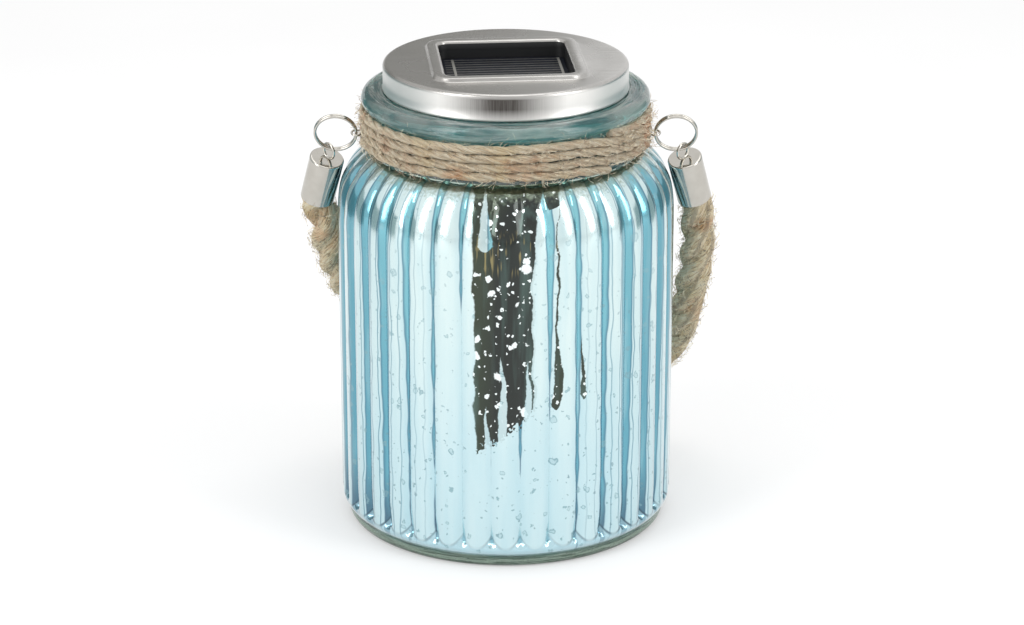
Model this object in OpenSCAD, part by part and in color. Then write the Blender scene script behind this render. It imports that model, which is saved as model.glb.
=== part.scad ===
// Mason jar lantern with a rope handle and a solar light in its lid.
// Millimetres, +Z up. The origin is on the jar's axis, at its base. -Y is the front.

/* [Jar] */
// Outer radius of the ribbed body
body_r = 60; // [54:0.1:70]
// Height at which the straight wall ends
body_h = 117.5; // [100:0.1:122]
// Radius of the shoulder's arc
shoulder_r = 24; // [20:0.1:28]
// Thickness of the glass at the mouth, up to the neck's outside
lip_t = 7.7; // [6:0.1:9]
// How far the rim stands out from the neck
rim_out = 2.8; // [1.5:0.1:4]
// Height of the rounded rim
rim_h = 6.2; // [5:0.1:8]
// Height of the thick lip round the mouth
lip_h = 9; // [8:0.1:12]
// Thickness of the glass wall
glass_t = 4.5; // [3:0.1:6]
// Thickness of the glass floor
floor_t = 6; // [4:0.1:9]
// How far the smooth foot stands in from the ribs
foot_in = 2.4; // [1.5:0.1:4]
// Height of the smooth foot
foot_h = 4.5; // [4:0.1:8]
// Width of the ring that the base stands on
base_w = 11.6; // [8:0.1:20]
// Depth of the hollow under the base
punt_d = 1.5; // [0.5:0.1:3]
// Number of ribs round the body
rib_n = 36; // [24:1:48]
// Depth of the grooves between ribs
rib_d = 1; // [0.5:0.1:1.5]
// Width of the grooves between ribs
rib_w = 3.2; // [2:0.1:4]

/* [Neck twine] */
// Diameter of the twine
twine_d = 3.2; // [2.5:0.1:3.4]
// Space between two turns
twine_space = 0.05; // [0.05:0.01:0.2]
// Number of turns round the neck
twine_turns = 4; // [3:1:4]
// Space between the twine and the neck
twine_gap = 0.3; // [0.25:0.01:0.5]
// Space between the top turn and the rim
twine_under = 0.4; // [0.2:0.1:1]
// Space between the lowest turn, where it parts, and the shoulder
twine_over = 0.83; // [0.3:0.01:1.5]
// How far the twine tucks under the rim's rounding
twine_tuck = 0.6; // [0.2:0.1:0.8]

/* [Handle] */
// Thickness of the swivel eyes' wire
eye_wire = 0.8; // [0.6:0.1:1]
// Inner radius of the swivel eyes
eye_r = 1.3; // [1.2:0.05:1.6]
// How far the swivel eyes stand out past the twine
eye_past = 0.65; // [0.5:0.05:1]
// How far the middle of the swivel eyes lies in from the body's side
eye_in = 7.15; // [6:0.05:9]
// Diameter of the swivel eyes' shanks
shank_d = 1; // [0.8:0.1:1.2]
// Radial clearance of a shank in its stud
shank_fit = 0.05; // [0.03:0.01:0.08]
// Radius of the split rings, at the middle of their wire
ring_r = 7.3; // [6:0.05:8]
// Thickness of the split rings' wire
ring_wire = 1; // [0.8:0.1:1.1]
// Inner radius of the eyes on the caps
cap_eye_r = 2.3; // [2:0.05:2.6]
// Thickness of the cap eyes' wire
cap_eye_wire = 1; // [0.8:0.1:1.2]
// Diameter of the rope's end caps
cap_d = 12.4; // [12:0.1:14]
// Length of the rope's end caps
cap_l = 18; // [14:0.1:20]
// Thickness of the caps' metal
cap_t = 0.5; // [0.4:0.1:0.8]
// Diameter of the rope
rope_d = 12.2; // [10:0.1:13]
// Space between the rope's ends and the caps' bores
rope_fit = 0.1; // [0.05:0.01:0.2]
// How far the handle leans back from straight down, in degrees
handle_lean = 20; // [15:0.5:25]
// How far the caps splay out, in degrees
cap_splay = 13; // [8:0.5:14]

/* [Lid] */
// How far the metal lid reaches past the mouth
lid_over = 3; // [2.5:0.1:5]
// Height of the metal lid
lid_h = 9.5; // [9:0.1:12]
// Thickness of its sheet
sheet_t = 0.6; // [0.4:0.05:0.8]
// Space between the lid's edge and the glass
lid_gap = 0.2; // [0.1:0.05:0.4]
// Radius of its rounded top edge
lid_edge = 1.5; // [1:0.1:2]
// Width of the window
window_x = 45; // [40:0.5:46]
// Depth of the window
window_y = 43; // [40:0.5:46]
// Corner radius of the window
window_c = 3.5; // [2:0.1:6]
// Width of the raised frame round the window
frame_w = 4.2; // [3:0.1:5]
// Height of the raised frame
frame_h = 0.8; // [0.4:0.1:1.2]
// Turn of the lid on the jar, in degrees
lid_turn = 5; // [0:1:20]
// Depth from the lid's top to the solar panel
well_d = 5; // [4:0.1:6]
// Thickness of the solar panel
panel_t = 2; // [1.5:0.1:2.5]
// Space round the solar panel
panel_gap = 0.2; // [0.1:0.05:0.4]
// Wall of the black tray
tray_t = 1.5; // [1:0.1:2]

/* [Light module] */
// Height of the housing
housing_h = 23.8; // [22:0.1:30]
// Wall of the housing
housing_t = 2; // [1.5:0.1:2.5]
// Thickness of its flange
flange_t = 1.6; // [1.2:0.1:2]
// Thickness of the silicone seal
seal_t = 1; // [0.8:0.05:1.2]
// Clearance of the seal's lips in the mouth
seal_fit = 0.05; // [0.03:0.01:0.1]
// Thickness of the bottom cover
cover_t = 1.8; // [1.6:0.1:2.5]
// Space between the housing's wall and the corner of what it holds
corner_gap = 2.51; // [1:0.01:4]
// Thickness of the seal's sleeve in the mouth
sleeve_t = 1.1; // [0.8:0.05:1.4]
// Height of the seal's sleeve
sleeve_h = 7; // [6:0.1:8]
// Space round the parts that drop into one another
drop_gap = 0.15; // [0.1:0.01:0.3]
// Diameter of the battery cell
cell_d = 10.5; // [10:0.1:11]
// Length of the battery cell
cell_l = 44.5; // [43:0.1:45]
// Length of the circuit board
board_x = 44; // [40:0.5:46]
// Width of the circuit board
board_y = 20; // [18:0.5:21]
// Thickness of the circuit board
board_t = 1.6; // [1:0.1:2]
// Height of the slide switch
switch_h = 4.6; // [4:0.1:6]
// Travel of its knob
switch_travel = 3; // [2:0.1:3.5]
// Outer radius of the lens
lens_r = 12; // [11.5:0.1:12.2]
// Diameter of the small screws
screw_d = 2; // [1.6:0.1:2.4]
// Height of the small screws' heads
head_h = 1.2; // [1:0.1:1.4]
// Length of the cover's screws
cover_screw_l = 8; // [6:0.1:10]
// Length of the board's screws
board_screw_l = 6.6; // [5:0.1:8]
// Length of the battery door's screw
door_screw_l = 7; // [6:0.1:8]
// Diameter of the light-emitting diodes
led_d = 5; // [3:0.1:5]
// Length of the straight part of a diode
led_l = 6; // [5:0.1:7]
// Distance between two diodes
led_step = 7; // [6:0.1:8]

/* [Hidden] */
e = 0.01;
cell_c = [-2.5, 12];
bay_x = cell_l + 5.5;
bay_y = cell_d + 0.7;
bay_t = 1.4;
bay_h = cell_d + 1;
tray_x = window_x + 0.4;
tray_y = window_y + 0.4;
board_c = [0, -10];
// The housing goes round the farthest corner of the battery bay, tray and board, the
// mouth goes round its seal, and the neck and lid take their sizes from the mouth
bay_reach = norm([abs(cell_c[0]) + bay_x / 2 + bay_t, cell_c[1] + bay_y / 2 + bay_t]);
tray_reach = norm([tray_x / 2 + tray_t - window_c, tray_y / 2 + tray_t - window_c]) + window_c;
board_reach = norm([board_x / 2, board_y / 2 - board_c[1]]);
housing_r = max(bay_reach, tray_reach, board_reach) + corner_gap + drop_gap + housing_t;
seal_in = housing_r + 0.1;
mouth_r = seal_in + sleeve_t + seal_fit;
neck_r = mouth_r + lip_t;
lid_r = mouth_r + lid_over;
foot_r = body_r - foot_in;
punt_r = foot_r - base_w;
heel_r = 6;
heel_z = foot_h + sqrt(heel_r * heel_r - pow(heel_r - foot_in, 2));
arc_x = body_r - shoulder_r;
rim_r = neck_r + rim_out;
neck_in = neck_r - glass_t;
body_in = body_r - glass_t;
pitch = twine_d + twine_space;
twine_r = neck_r + twine_gap + twine_d / 2;
// The eyes stand clear of the twine and let the caps hang clear of the body. The two
// lowest turns part for them, or for their sleeves where they stand past the turns
eye_out = eye_r + eye_wire;
eye_x = max(twine_r + eye_out + eye_past, body_r - eye_in);
part_r = eye_out + twine_d / 2 + 0.1;
sleeve_r = shank_d * 0.82;
part_up = max(sqrt(max(pow(part_r, 2) - pow(eye_x - twine_r, 2), 0)), twine_d / 2 + sleeve_r + 0.13);
part_low = 2 * part_up - pitch;
low_turn = body_h + part_low
    + sqrt(pow(shoulder_r + twine_d / 2 + twine_over, 2) - pow(twine_r - arc_x, 2));
top_turn = low_turn + (twine_turns - 1) * pitch;
jar_h = top_turn + twine_d / 2 - twine_tuck + twine_under + rim_h;
pivot_z = low_turn + pitch - part_up;
stud_x = neck_r + 0.05;
stud_t = eye_wire * 0.75;
stud_r = shank_d * 1.3;
sleeve_l = eye_x - eye_out - stud_x - 0.3;
ring_x = eye_x + 0.1 + ring_r;
hook_a = 70;
hook_r = ring_r - ring_wire / 2 - 0.45;
eye_turn = 50;
eye_pt = [ring_x + hook_r * cos(hook_a), 0, -hook_r * sin(hook_a)];
cap_dir = [sin(cap_splay), 0, -cos(cap_splay)];
cap_eye_c = eye_pt + cap_eye_r * cap_dir;
cap_top = cap_eye_c + (cap_eye_r + 0.7) * cap_dir;
cap_bore = cap_d - 2 * cap_t;
cap_end = 1.2;
lid_z = jar_h + lid_gap;
lid_top = lid_z + lid_h;
hem = 0.7;
flange_z = jar_h + seal_t;
flange_r = lid_r - sheet_t - 0.3;
seal_r = flange_r - 0.8;
housing_z = flange_z + flange_t - housing_h;
panel_z = lid_top - well_d - panel_t;
tray_floor = 1.2;
tray_z = panel_z - tray_floor;
plate_z = tray_z - 0.1;
plate_t = 1.8;
cover_r = housing_r - housing_t - drop_gap;
cover_z = housing_z + cover_t;
boss_r = 2.6;
boss_at = housing_r - housing_t - boss_r - 1.3;
board_z = cover_z + switch_h + 0.2;
board_holes = [[3 - board_x / 2, 0], [board_x / 2 - 4, 3.5 - board_y / 2]];
lens_flange = lens_r + 0.5;
lens_lip = 1;
cell_z = cover_z + cell_d / 2 + 0.4;
door_t = 1.2;
door_x = bay_x + 6;
door_y = bay_y + 2.8;
door_screw_x = cell_c[0] + bay_x / 2 + 5;
knob_x = 2;
knob_y = 1.6;
switch_c = [18, -10];
wire_d = 1;

// The rope's middle line, from the left cap to the right cap. Its legs hang beside
// the jar and it passes behind the jar, one rope radius away. It is drawn for a hinge
// line at route_top and a rope that keeps 66.4 from the axis.
rope_reach = body_r + rope_d / 2 + 0.3;
rope_k = rope_reach / 66.4;
route_top = 142.65;
rope_route = [
    [-65, 13.5, 106], [-64.5, 18, 96], [-62, 25.5, 85], [-59, 32.5, 75],
    [-55, 39, 66], [-46, 49.5, 52.5], [-31, 60, 39], [-11, 66.8, 28],
    [12, 68.5, 22.5], [33, 66, 23], [48, 61, 28.5], [57.5, 53.5, 37.5],
    [63, 45, 48], [66.5, 35, 62], [68.5, 26, 78], [69.8, 19, 93], [69.4, 14.5, 105]
];

function unit(v) = v / norm(v);
function mix(a, b, t) = a + (b - a) * t;
// A smooth line through the points p, with n steps between two of them
function smooth(p, n) = let (m = len(p)) concat([for (i = [0 : m - 2], k = [0 : n - 1])
    let (t = k / n, a = p[max(i - 1, 0)], b = p[i], c = p[i + 1], d = p[min(i + 2, m - 1)])
    0.5 * (2 * b + (c - a) * t + (2 * a - 5 * b + 4 * c - d) * t * t
        + (3 * b - a - 3 * c + d) * t * t * t)], [p[m - 1]]);
function hoop(c, t, up, r, n) = let (u = unit(cross(t, up)), v = cross(u, t))
    [for (k = [0 : n - 1]) c + r * (cos(360 * k / n) * u + sin(360 * k / n) * v)];

// A round tube along the points p. r is its radius at each point.
module tube(p, r, up, n = 8) {
    m = len(p);
    pts = [for (i = [0 : m - 1])
        each hoop(p[i], unit(p[min(i + 1, m - 1)] - p[max(i - 1, 0)]), up, r[i], n)];
    sides = [for (i = [0 : m - 2], k = [0 : n - 1])
        [i * n + k, i * n + (k + 1) % n, (i + 1) * n + (k + 1) % n, (i + 1) * n + k]];
    polyhedron(pts, concat([[for (k = [n - 1 : -1 : 0]) k]],
        [[for (k = [0 : n - 1]) (m - 1) * n + k]], sides), convexity = 8);
}

module rsq(x, y, c, h) {
    linear_extrude(h) {
        square([x - 2 * c, y], center = true);
        square([x, y - 2 * c], center = true);
        for (i = [-1, 1], j = [-1, 1])
            translate([i * (x / 2 - c), j * (y / 2 - c)]) circle(c, $fn = 32);
    }
}

module ring(r, wire, n = 64) {
    rotate_extrude($fn = n) translate([r, 0]) circle(wire / 2, $fn = 16);
}

module screw(l) {
    cylinder(h = head_h, d = 2 * screw_d, $fn = 24);
    cylinder(h = l, d = screw_d, $fn = 24);
}

// Jar

// The outside, with the ribs' tops in it, or less d with the grooves' floors
module jar_outside(d) {
    square([foot_r - 2.5, foot_h + e]);
    translate([0, 2.5]) square([foot_r, foot_h - 2.5]);
    translate([foot_r - 2.5, 2.5]) circle(2.5, $fn = 48);
    translate([0, foot_h]) square([body_r - heel_r, heel_z]);
    translate([body_r - heel_r, heel_z]) circle(heel_r - d, $fn = 64);
    translate([0, heel_z]) square([body_r - d, body_h - heel_z]);
    translate([arc_x, body_h]) circle(shoulder_r - d, $fn = 128);
    translate([0, body_h]) square([neck_r, jar_h - rim_h / 2 - body_h]);
    translate([0, jar_h - rim_h]) square([rim_r - rim_h / 2, rim_h]);
    translate([rim_r - rim_h / 2, jar_h - rim_h / 2]) circle(rim_h / 2, $fn = 48);
}

module jar_inside() {
    translate([0, floor_t]) square([body_in - 5, 6]);
    translate([body_in - 5, floor_t + 5]) circle(5, $fn = 48);
    translate([0, floor_t + 5]) square([body_in, body_h - floor_t - 5]);
    translate([arc_x, body_h]) circle(shoulder_r - glass_t, $fn = 96);
    translate([0, body_h]) square([arc_x, shoulder_r - glass_t]);
    translate([0, body_h]) square([neck_in, jar_h - lip_h - body_h]);
    translate([0, body_h]) polygon([[0, 0], [neck_in, jar_h - lip_h - body_h],
        [mouth_r, jar_h - lip_h - body_h + neck_in - mouth_r], [mouth_r, jar_h], [0, jar_h]]);
}

module jar_glass() {
    top = body_h + shoulder_r * sin(56);
    color([0.66, 0.85, 0.88]) difference() {
        union() {
            rotate_extrude($fn = 144) jar_outside(rib_d);
            difference() {
                rotate_extrude($fn = 144) jar_outside(0);
                for (i = [0 : rib_n - 1]) rotate([0, 0, (i + 0.5) * 360 / rib_n])
                    translate([neck_r - 8, -rib_w / 2, foot_h - 1]) cube([40, rib_w, top - foot_h + 1]);
            }
        }
        rotate_extrude($fn = 144) jar_inside();
        translate([0, 0, -e]) cylinder(h = punt_d + e, r = punt_r, $fn = 96);
    }
}

// One length of twine. It steps down a turn at the front right. The lowest turn
// leaves room for the swivel eyes on both sides.
step_a = 315;
step_w = 20;
function ease(t) = let (c = min(max(t, 0), 1)) c * c * (3 - 2 * c);
function bump(a) = let (d = abs(((a + 90) % 180) - 90)) d < 22 ? pow(cos(d * 90 / 22), 2) : 0;
function twine_z(a) = let (n = a / 360, k = floor(n + 0.5), d = (n - k) * 360)
    top_turn + pitch / 2 - pitch * (k - 1 + ease((d + step_w) / (2 * step_w))) - pitch * 0.5;
function low(a) = ease((a - 360 * (twine_turns - 1) - 20) / 20);
module neck_twine() {
    n = 36 * twine_turns;
    line = [for (i = [0 : n]) let (a = 360 * twine_turns * i / n, b = a + step_a)
        [twine_r * cos(b), twine_r * sin(b), twine_z(a) - part_low * bump(b) * low(a)]];
    color([0.72, 0.6, 0.42]) tube(line, [for (p = line) twine_d / 2], [0, 0, 1], 8);
}

module neck_studs() {
    color([0.7, 0.68, 0.64]) for (a = [0, 180]) rotate([0, 0, a])
        translate([stud_x, 0, pivot_z]) rotate([0, 90, 0]) difference() {
            union() {
                cylinder(h = stud_t, r = stud_r, $fn = 32);
                cylinder(h = sleeve_l, r = sleeve_r, $fn = 32);
            }
            translate([0, 0, stud_t / 2])
                cylinder(h = sleeve_l, r = shank_d / 2 + shank_fit, $fn = 32);
        }
}

// Handle: its own axes start on the hinge line and lean back with it

module hung() {
    translate([0, 0, pivot_z]) rotate([handle_lean, 0, 0]) children();
}

module both(s) {
    if (s > 0) children();
    else mirror([1, 0, 0]) children();
}

module neck_eye() {
    stem = eye_x - eye_out + eye_wire / 2 - stud_x - stud_t / 2 - 0.05;
    translate([stud_x + stud_t / 2 + 0.05, 0, 0]) rotate([0, 90, 0])
        cylinder(h = stem, d = shank_d, $fn = 32);
    translate([eye_x, 0, 0]) ring(eye_r + eye_wire / 2, eye_wire, 48);
}

module split_ring() {
    for (s = [-1, 1]) translate([ring_x, s * ring_wire * 0.49, 0]) rotate([90, 0, 0])
        ring(ring_r, ring_wire, 72);
}

module cap_eye() {
    translate(cap_eye_c) rotate([0, -cap_splay, 0]) rotate([0, 0, eye_turn]) rotate([90, 0, 0])
        ring(cap_eye_r + cap_eye_wire / 2, cap_eye_wire, 48);
}

module rope_cap() {
    translate(cap_top) rotate([0, -cap_splay, 0]) difference() {
        translate([0, 0, -cap_l]) union() {
            cylinder(h = cap_l - 0.6, d = cap_d, $fn = 64);
            cylinder(h = cap_l, d = cap_d - 1.2, $fn = 64);
            translate([0, 0, cap_l - 0.6]) ring(cap_d / 2 - 0.6, 1.2, 64);
        }
        translate([0, 0, -cap_l - e]) cylinder(h = cap_l - cap_end + e, d = cap_bore, $fn = 64);
        rotate([0, 0, eye_turn]) translate([0, 0, cap_eye_r + 0.7]) rotate([90, 0, 0])
            ring(cap_eye_r + cap_eye_wire / 2, cap_eye_wire + 0.02, 48);
    }
}

module neck_eye_left() { color([0.75, 0.74, 0.7]) both(-1) hung() neck_eye(); }
module neck_eye_right() { color([0.75, 0.74, 0.7]) both(1) hung() neck_eye(); }
module split_ring_left() { color([0.7, 0.69, 0.66]) both(-1) hung() split_ring(); }
module split_ring_right() { color([0.7, 0.69, 0.66]) both(1) hung() split_ring(); }
module cap_eye_left() { color([0.7, 0.69, 0.66]) both(-1) hung() cap_eye(); }
module cap_eye_right() { color([0.7, 0.69, 0.66]) both(1) hung() cap_eye(); }
module rope_cap_left() { color([0.78, 0.77, 0.74]) both(-1) hung() rope_cap(); }
module rope_cap_right() { color([0.78, 0.77, 0.74]) both(1) hung() rope_cap(); }

function lean(p) = [p[0], p[1] * cos(handle_lean) - p[2] * sin(handle_lean),
    p[1] * sin(handle_lean) + p[2] * cos(handle_lean) + pivot_z];
function left(p) = [-p[0], p[1], p[2]];

module handle_rope() {
    in0 = lean(cap_top + (cap_end + 0.1) * cap_dir);
    in1 = lean(cap_top + (cap_l + 0.5) * cap_dir);
    in2 = lean(cap_top + (cap_l + 2.3) * cap_dir);
    mid = [for (p = rope_route) [p[0] * rope_k, p[1] * rope_k, p[2] + pivot_z - route_top]];
    run = smooth(concat([left(in2)], mid, [in2]), 3);
    line = concat([left(in0), left(in1)], run, [in1, in0]);
    m = len(line);
    thick = [for (i = [0 : m - 1]) i < 2 || i > m - 3 ? cap_bore / 2 - rope_fit : rope_d / 2];
    color([0.66, 0.58, 0.42]) tube(line, thick, [0, -0.88, -0.47], 12);
}

// Lid

module lid_cover() {
    color([0.8, 0.79, 0.77]) translate([0, 0, lid_z]) rotate([0, 0, lid_turn]) difference() {
        union() {
            rotate_extrude($fn = 128) {
                square([lid_r, lid_h - lid_edge]);
                square([lid_r - lid_edge, lid_h]);
                translate([lid_r - lid_edge, lid_h - lid_edge]) circle(lid_edge, $fn = 48);
            }
            translate([0, 0, lid_h - e]) rsq(window_x + 2 * frame_w, window_y + 2 * frame_w,
                window_c + frame_w - 1, frame_h + e);
        }
        difference() {
            union() {
                translate([0, 0, hem]) cylinder(h = lid_h - sheet_t - hem, r = lid_r - sheet_t, $fn = 128);
                translate([0, 0, -e]) cylinder(h = hem + 2 * e, r = lid_r - sheet_t - 0.9, $fn = 128);
                translate([0, 0, lid_h - 2]) rsq(window_x + 2 * (frame_w - sheet_t),
                    window_y + 2 * (frame_w - sheet_t), window_c + frame_w - 1.6,
                    2 + frame_h - sheet_t);
            }
            translate([0, 0, lid_h - 1]) rsq(window_x + 2 * sheet_t, window_y + 2 * sheet_t,
                window_c + sheet_t, 3);
        }
        translate([0, 0, lid_h - 2]) rsq(window_x, window_y, window_c, 4);
    }
}

module solar_tray() {
    top = lid_top - sheet_t - 0.05 - tray_z;
    color([0.06, 0.06, 0.07]) translate([0, 0, tray_z]) rotate([0, 0, lid_turn]) difference() {
        union() {
            rsq(tray_x + 2 * tray_t, tray_y + 2 * tray_t, window_c + tray_t, top);
            translate([0, 0, top - 1.2]) rsq(tray_x + 12, tray_y + 12, window_c + 4, 1.2);
        }
        translate([0, 0, tray_floor]) rsq(tray_x, tray_y, window_c, top);
        translate([0, 0, top - 0.5]) rsq(window_x + 2 * sheet_t + 0.3,
            window_y + 2 * sheet_t + 0.3, window_c + sheet_t, 2);
        translate([-3, 0, -e]) cylinder(h = tray_floor + 2 * e, r = 2.2, $fn = 32);
    }
}

module solar_panel() {
    color([0.1, 0.12, 0.2]) translate([0, 0, panel_z]) rotate([0, 0, lid_turn])
        rsq(tray_x - 2 * panel_gap, tray_y - 2 * panel_gap, window_c - panel_gap, panel_t);
}

module at_bosses() {
    for (a = [90, 210, 330]) rotate([0, 0, a]) translate([boss_at, 0, 0]) children();
}

module module_housing() {
    top = flange_z + flange_t;
    color([0.1, 0.1, 0.11]) rotate([0, 0, lid_turn]) difference() {
        union() {
            translate([0, 0, flange_z]) cylinder(h = flange_t, r = flange_r, $fn = 128);
            translate([0, 0, housing_z]) cylinder(h = housing_h, r = housing_r, $fn = 128);
        }
        difference() {
            translate([0, 0, housing_z - e])
                cylinder(h = plate_z - plate_t - housing_z + e, r = housing_r - housing_t, $fn = 128);
            at_bosses() translate([0, 0, cover_z]) cylinder(h = housing_h, r = boss_r, $fn = 32);
            at_bosses() translate([0, -1, cover_z]) cube([6, 2, housing_h]);
        }
        translate([0, 0, plate_z]) cylinder(h = 10, r = housing_r - housing_t, $fn = 128);
        at_bosses() translate([0, 0, cover_z - e])
            cylinder(h = 6.6, d = screw_d + 2 * drop_gap, $fn = 24);
        translate([-3, 0, plate_z - plate_t - e]) cylinder(h = plate_t + 2 * e, r = 2.2, $fn = 32);
    }
}

module seal_ring() {
    color([0.85, 0.86, 0.86]) difference() {
        union() {
            translate([0, 0, jar_h]) cylinder(h = seal_t - 0.02, r = seal_r, $fn = 128);
            translate([0, 0, jar_h - sleeve_h])
                cylinder(h = sleeve_h + seal_t / 2, r = seal_in + sleeve_t - 0.3, $fn = 128);
            for (z = [0.32, 0.72]) translate([0, 0, jar_h - z * sleeve_h])
                cylinder(h = 0.8 * seal_t, r = mouth_r - seal_fit, $fn = 128);
        }
        translate([0, 0, jar_h - sleeve_h - 1])
            cylinder(h = sleeve_h + 2 * seal_t + 1, r = seal_in, $fn = 128);
    }
}

module bottom_cover() {
    color([0.12, 0.12, 0.13]) rotate([0, 0, lid_turn]) difference() {
        union() {
            translate([0, 0, housing_z]) cylinder(h = cover_t, r = cover_r, $fn = 128);
            translate([cell_c[0] - bay_x / 2 - bay_t, cell_c[1] - bay_y / 2 - bay_t, housing_z])
                cube([bay_x + 2 * bay_t, bay_y + 2 * bay_t, cover_t + bay_h + bay_t]);
            translate([door_screw_x, cell_c[1], housing_z])
                cylinder(h = cover_t + 6, r = 2.6, $fn = 32);
            for (p = board_holes)
                translate([board_c[0] + p[0], board_c[1] + p[1], housing_z])
                    cylinder(h = board_z - housing_z, r = 1.9, $fn = 32);
        }
        translate([cell_c[0] - bay_x / 2, cell_c[1] - bay_y / 2, housing_z - e])
            cube([bay_x, bay_y, cover_t + bay_h + e]);
        translate([cell_c[0] - door_x / 2 - drop_gap, cell_c[1] - door_y / 2 - drop_gap,
            housing_z - e]) cube([door_x + 2 * drop_gap, door_y + 2 * drop_gap, door_t + e]);
        translate([cell_c[0], cell_c[1] - 3.5 - drop_gap, housing_z - e])
            cube([door_screw_x + 3.5 + drop_gap - cell_c[0], 7 + 2 * drop_gap, door_t + e]);
        translate([door_screw_x, cell_c[1], housing_z])
            cylinder(h = 6.4, d = screw_d + 2 * drop_gap, $fn = 24);
        for (s = [-1, 1]) translate([cell_c[0] + s * (bay_x / 2 + bay_t / 2), cell_c[1], cell_z + 3])
            cube([bay_t + 2, 2.6, 0.9], center = true);
        translate([board_c[0], board_c[1], housing_z - e])
            cylinder(h = lens_lip + e, r = lens_flange + drop_gap, $fn = 96);
        translate([board_c[0], board_c[1], housing_z - e])
            cylinder(h = cover_t + 2 * e, r = lens_r - 1.2, $fn = 96);
        translate([switch_c[0] - knob_x / 2 - 0.3, switch_c[1] - knob_y / 2 - 0.3, housing_z - e])
            cube([knob_x + switch_travel + 0.6, knob_y + 0.6, cover_t + 2 * e]);
        at_bosses() translate([0, 0, housing_z - e]) {
            cylinder(h = cover_t + 2 * e, d = screw_d + 2 * drop_gap, $fn = 24);
            cylinder(h = 1.2 + e, d = 2 * screw_d + 2 * drop_gap, $fn = 24);
        }
        for (p = board_holes)
            translate([board_c[0] + p[0], board_c[1] + p[1], board_z - 3.6])
                cylinder(h = 5, d = screw_d - 0.4 + 2 * drop_gap, $fn = 24);
    }
}

module cover_screws() {
    color([0.7, 0.7, 0.7]) rotate([0, 0, lid_turn]) at_bosses()
        translate([0, 0, housing_z]) screw(cover_screw_l);
}

module circuit_board() {
    color([0.1, 0.35, 0.16]) rotate([0, 0, lid_turn]) difference() {
        translate([board_c[0] - board_x / 2, board_c[1] - board_y / 2, board_z])
            cube([board_x, board_y, board_t]);
        for (p = board_holes)
            translate([board_c[0] + p[0], board_c[1] + p[1], board_z - e])
                cylinder(h = board_t + 2 * e, d = screw_d - 0.4 + 2 * drop_gap, $fn = 24);
    }
}

module board_screws() {
    color([0.7, 0.7, 0.7]) rotate([0, 0, lid_turn]) for (p = board_holes)
        translate([board_c[0] + p[0], board_c[1] + p[1], board_z + board_t]) {
            cylinder(h = head_h - 0.2, d = 2 * (screw_d - 0.4), $fn = 24);
            translate([0, 0, 2 - board_screw_l])
                cylinder(h = board_screw_l - 2, d = screw_d - 0.4, $fn = 24);
        }
}

module leds() {
    color([1, 0.95, 0.8]) rotate([0, 0, lid_turn]) for (i = [-1 : 1])
        translate([board_c[0] + i * led_step, board_c[1], board_z]) rotate([180, 0, 0]) {
            cylinder(h = led_l / 6, d = led_d * 1.16, $fn = 32);
            cylinder(h = led_l, d = led_d, $fn = 32);
            translate([0, 0, led_l]) sphere(led_d / 2, $fn = 32);
        }
}

module led_lens() {
    color([0.9, 0.9, 0.88]) rotate([0, 0, lid_turn]) translate([board_c[0], board_c[1], housing_z])
        rotate_extrude($fn = 96) difference() {
            union() {
                square([lens_flange, lens_lip]);
                intersection() {
                    translate([0, 4]) circle(lens_r, $fn = 96);
                    translate([0, -lens_r]) square([lens_r, lens_r + e]);
                }
            }
            intersection() {
                translate([0, 4]) circle(lens_r - 1.2, $fn = 96);
                translate([0, -lens_r]) square([lens_r, lens_r + 4]);
            }
            translate([-40, -40]) square([40, 80]);
        }
}

module switch_body() {
    color([0.25, 0.25, 0.27]) rotate([0, 0, lid_turn]) difference() {
        translate([switch_c[0] - 2.6, switch_c[1] - 2.2, board_z - switch_h])
            cube([knob_x + switch_travel + 3.2, 4.4, switch_h]);
        translate([switch_c[0] - knob_x / 2 - 0.15, switch_c[1] - knob_y / 2 - 0.15,
            board_z - switch_h - e]) cube([knob_x + switch_travel + 0.3, knob_y + 0.3, 2.5]);
    }
}

module switch_knob() {
    color([0.9, 0.9, 0.9]) rotate([0, 0, lid_turn])
        translate([switch_c[0] - knob_x / 2, switch_c[1] - knob_y / 2, housing_z - 2])
            cube([knob_x, knob_y, board_z - switch_h - housing_z + 4.2]);
}

module battery_cell() {
    color([0.2, 0.5, 0.3]) rotate([0, 0, lid_turn])
        translate([cell_c[0] - cell_l / 2 + 1.5, cell_c[1], cell_z]) rotate([0, 90, 0]) {
            cylinder(h = cell_l - 1, d = cell_d, $fn = 48);
            cylinder(h = cell_l, d = 3.8, $fn = 32);
        }
}

module battery_spring() {
    x0 = cell_c[0] - bay_x / 2 + 0.1;
    x1 = cell_c[0] - cell_l / 2 + 1.5;
    coil = [for (i = [0 : 36]) let (t = i / 36, a = 30 * i, r = 3.2 - 1.2 * t)
        [mix(x0 + 0.6, x1 - 0.3, t), cell_c[1] + r * cos(a), cell_z + r * sin(a)]];
    color([0.75, 0.75, 0.72]) rotate([0, 0, lid_turn]) {
        translate([x0, cell_c[1] - 4.5, cell_z - 4.5]) cube([0.5, 9, 9]);
        translate([x0 - bay_t - 1, cell_c[1] - 1, cell_z + 2.75]) cube([bay_t + 1.2, 2, 0.5]);
        tube(coil, [for (p = coil) 0.3], [1, 0, 0], 6);
    }
}

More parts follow.
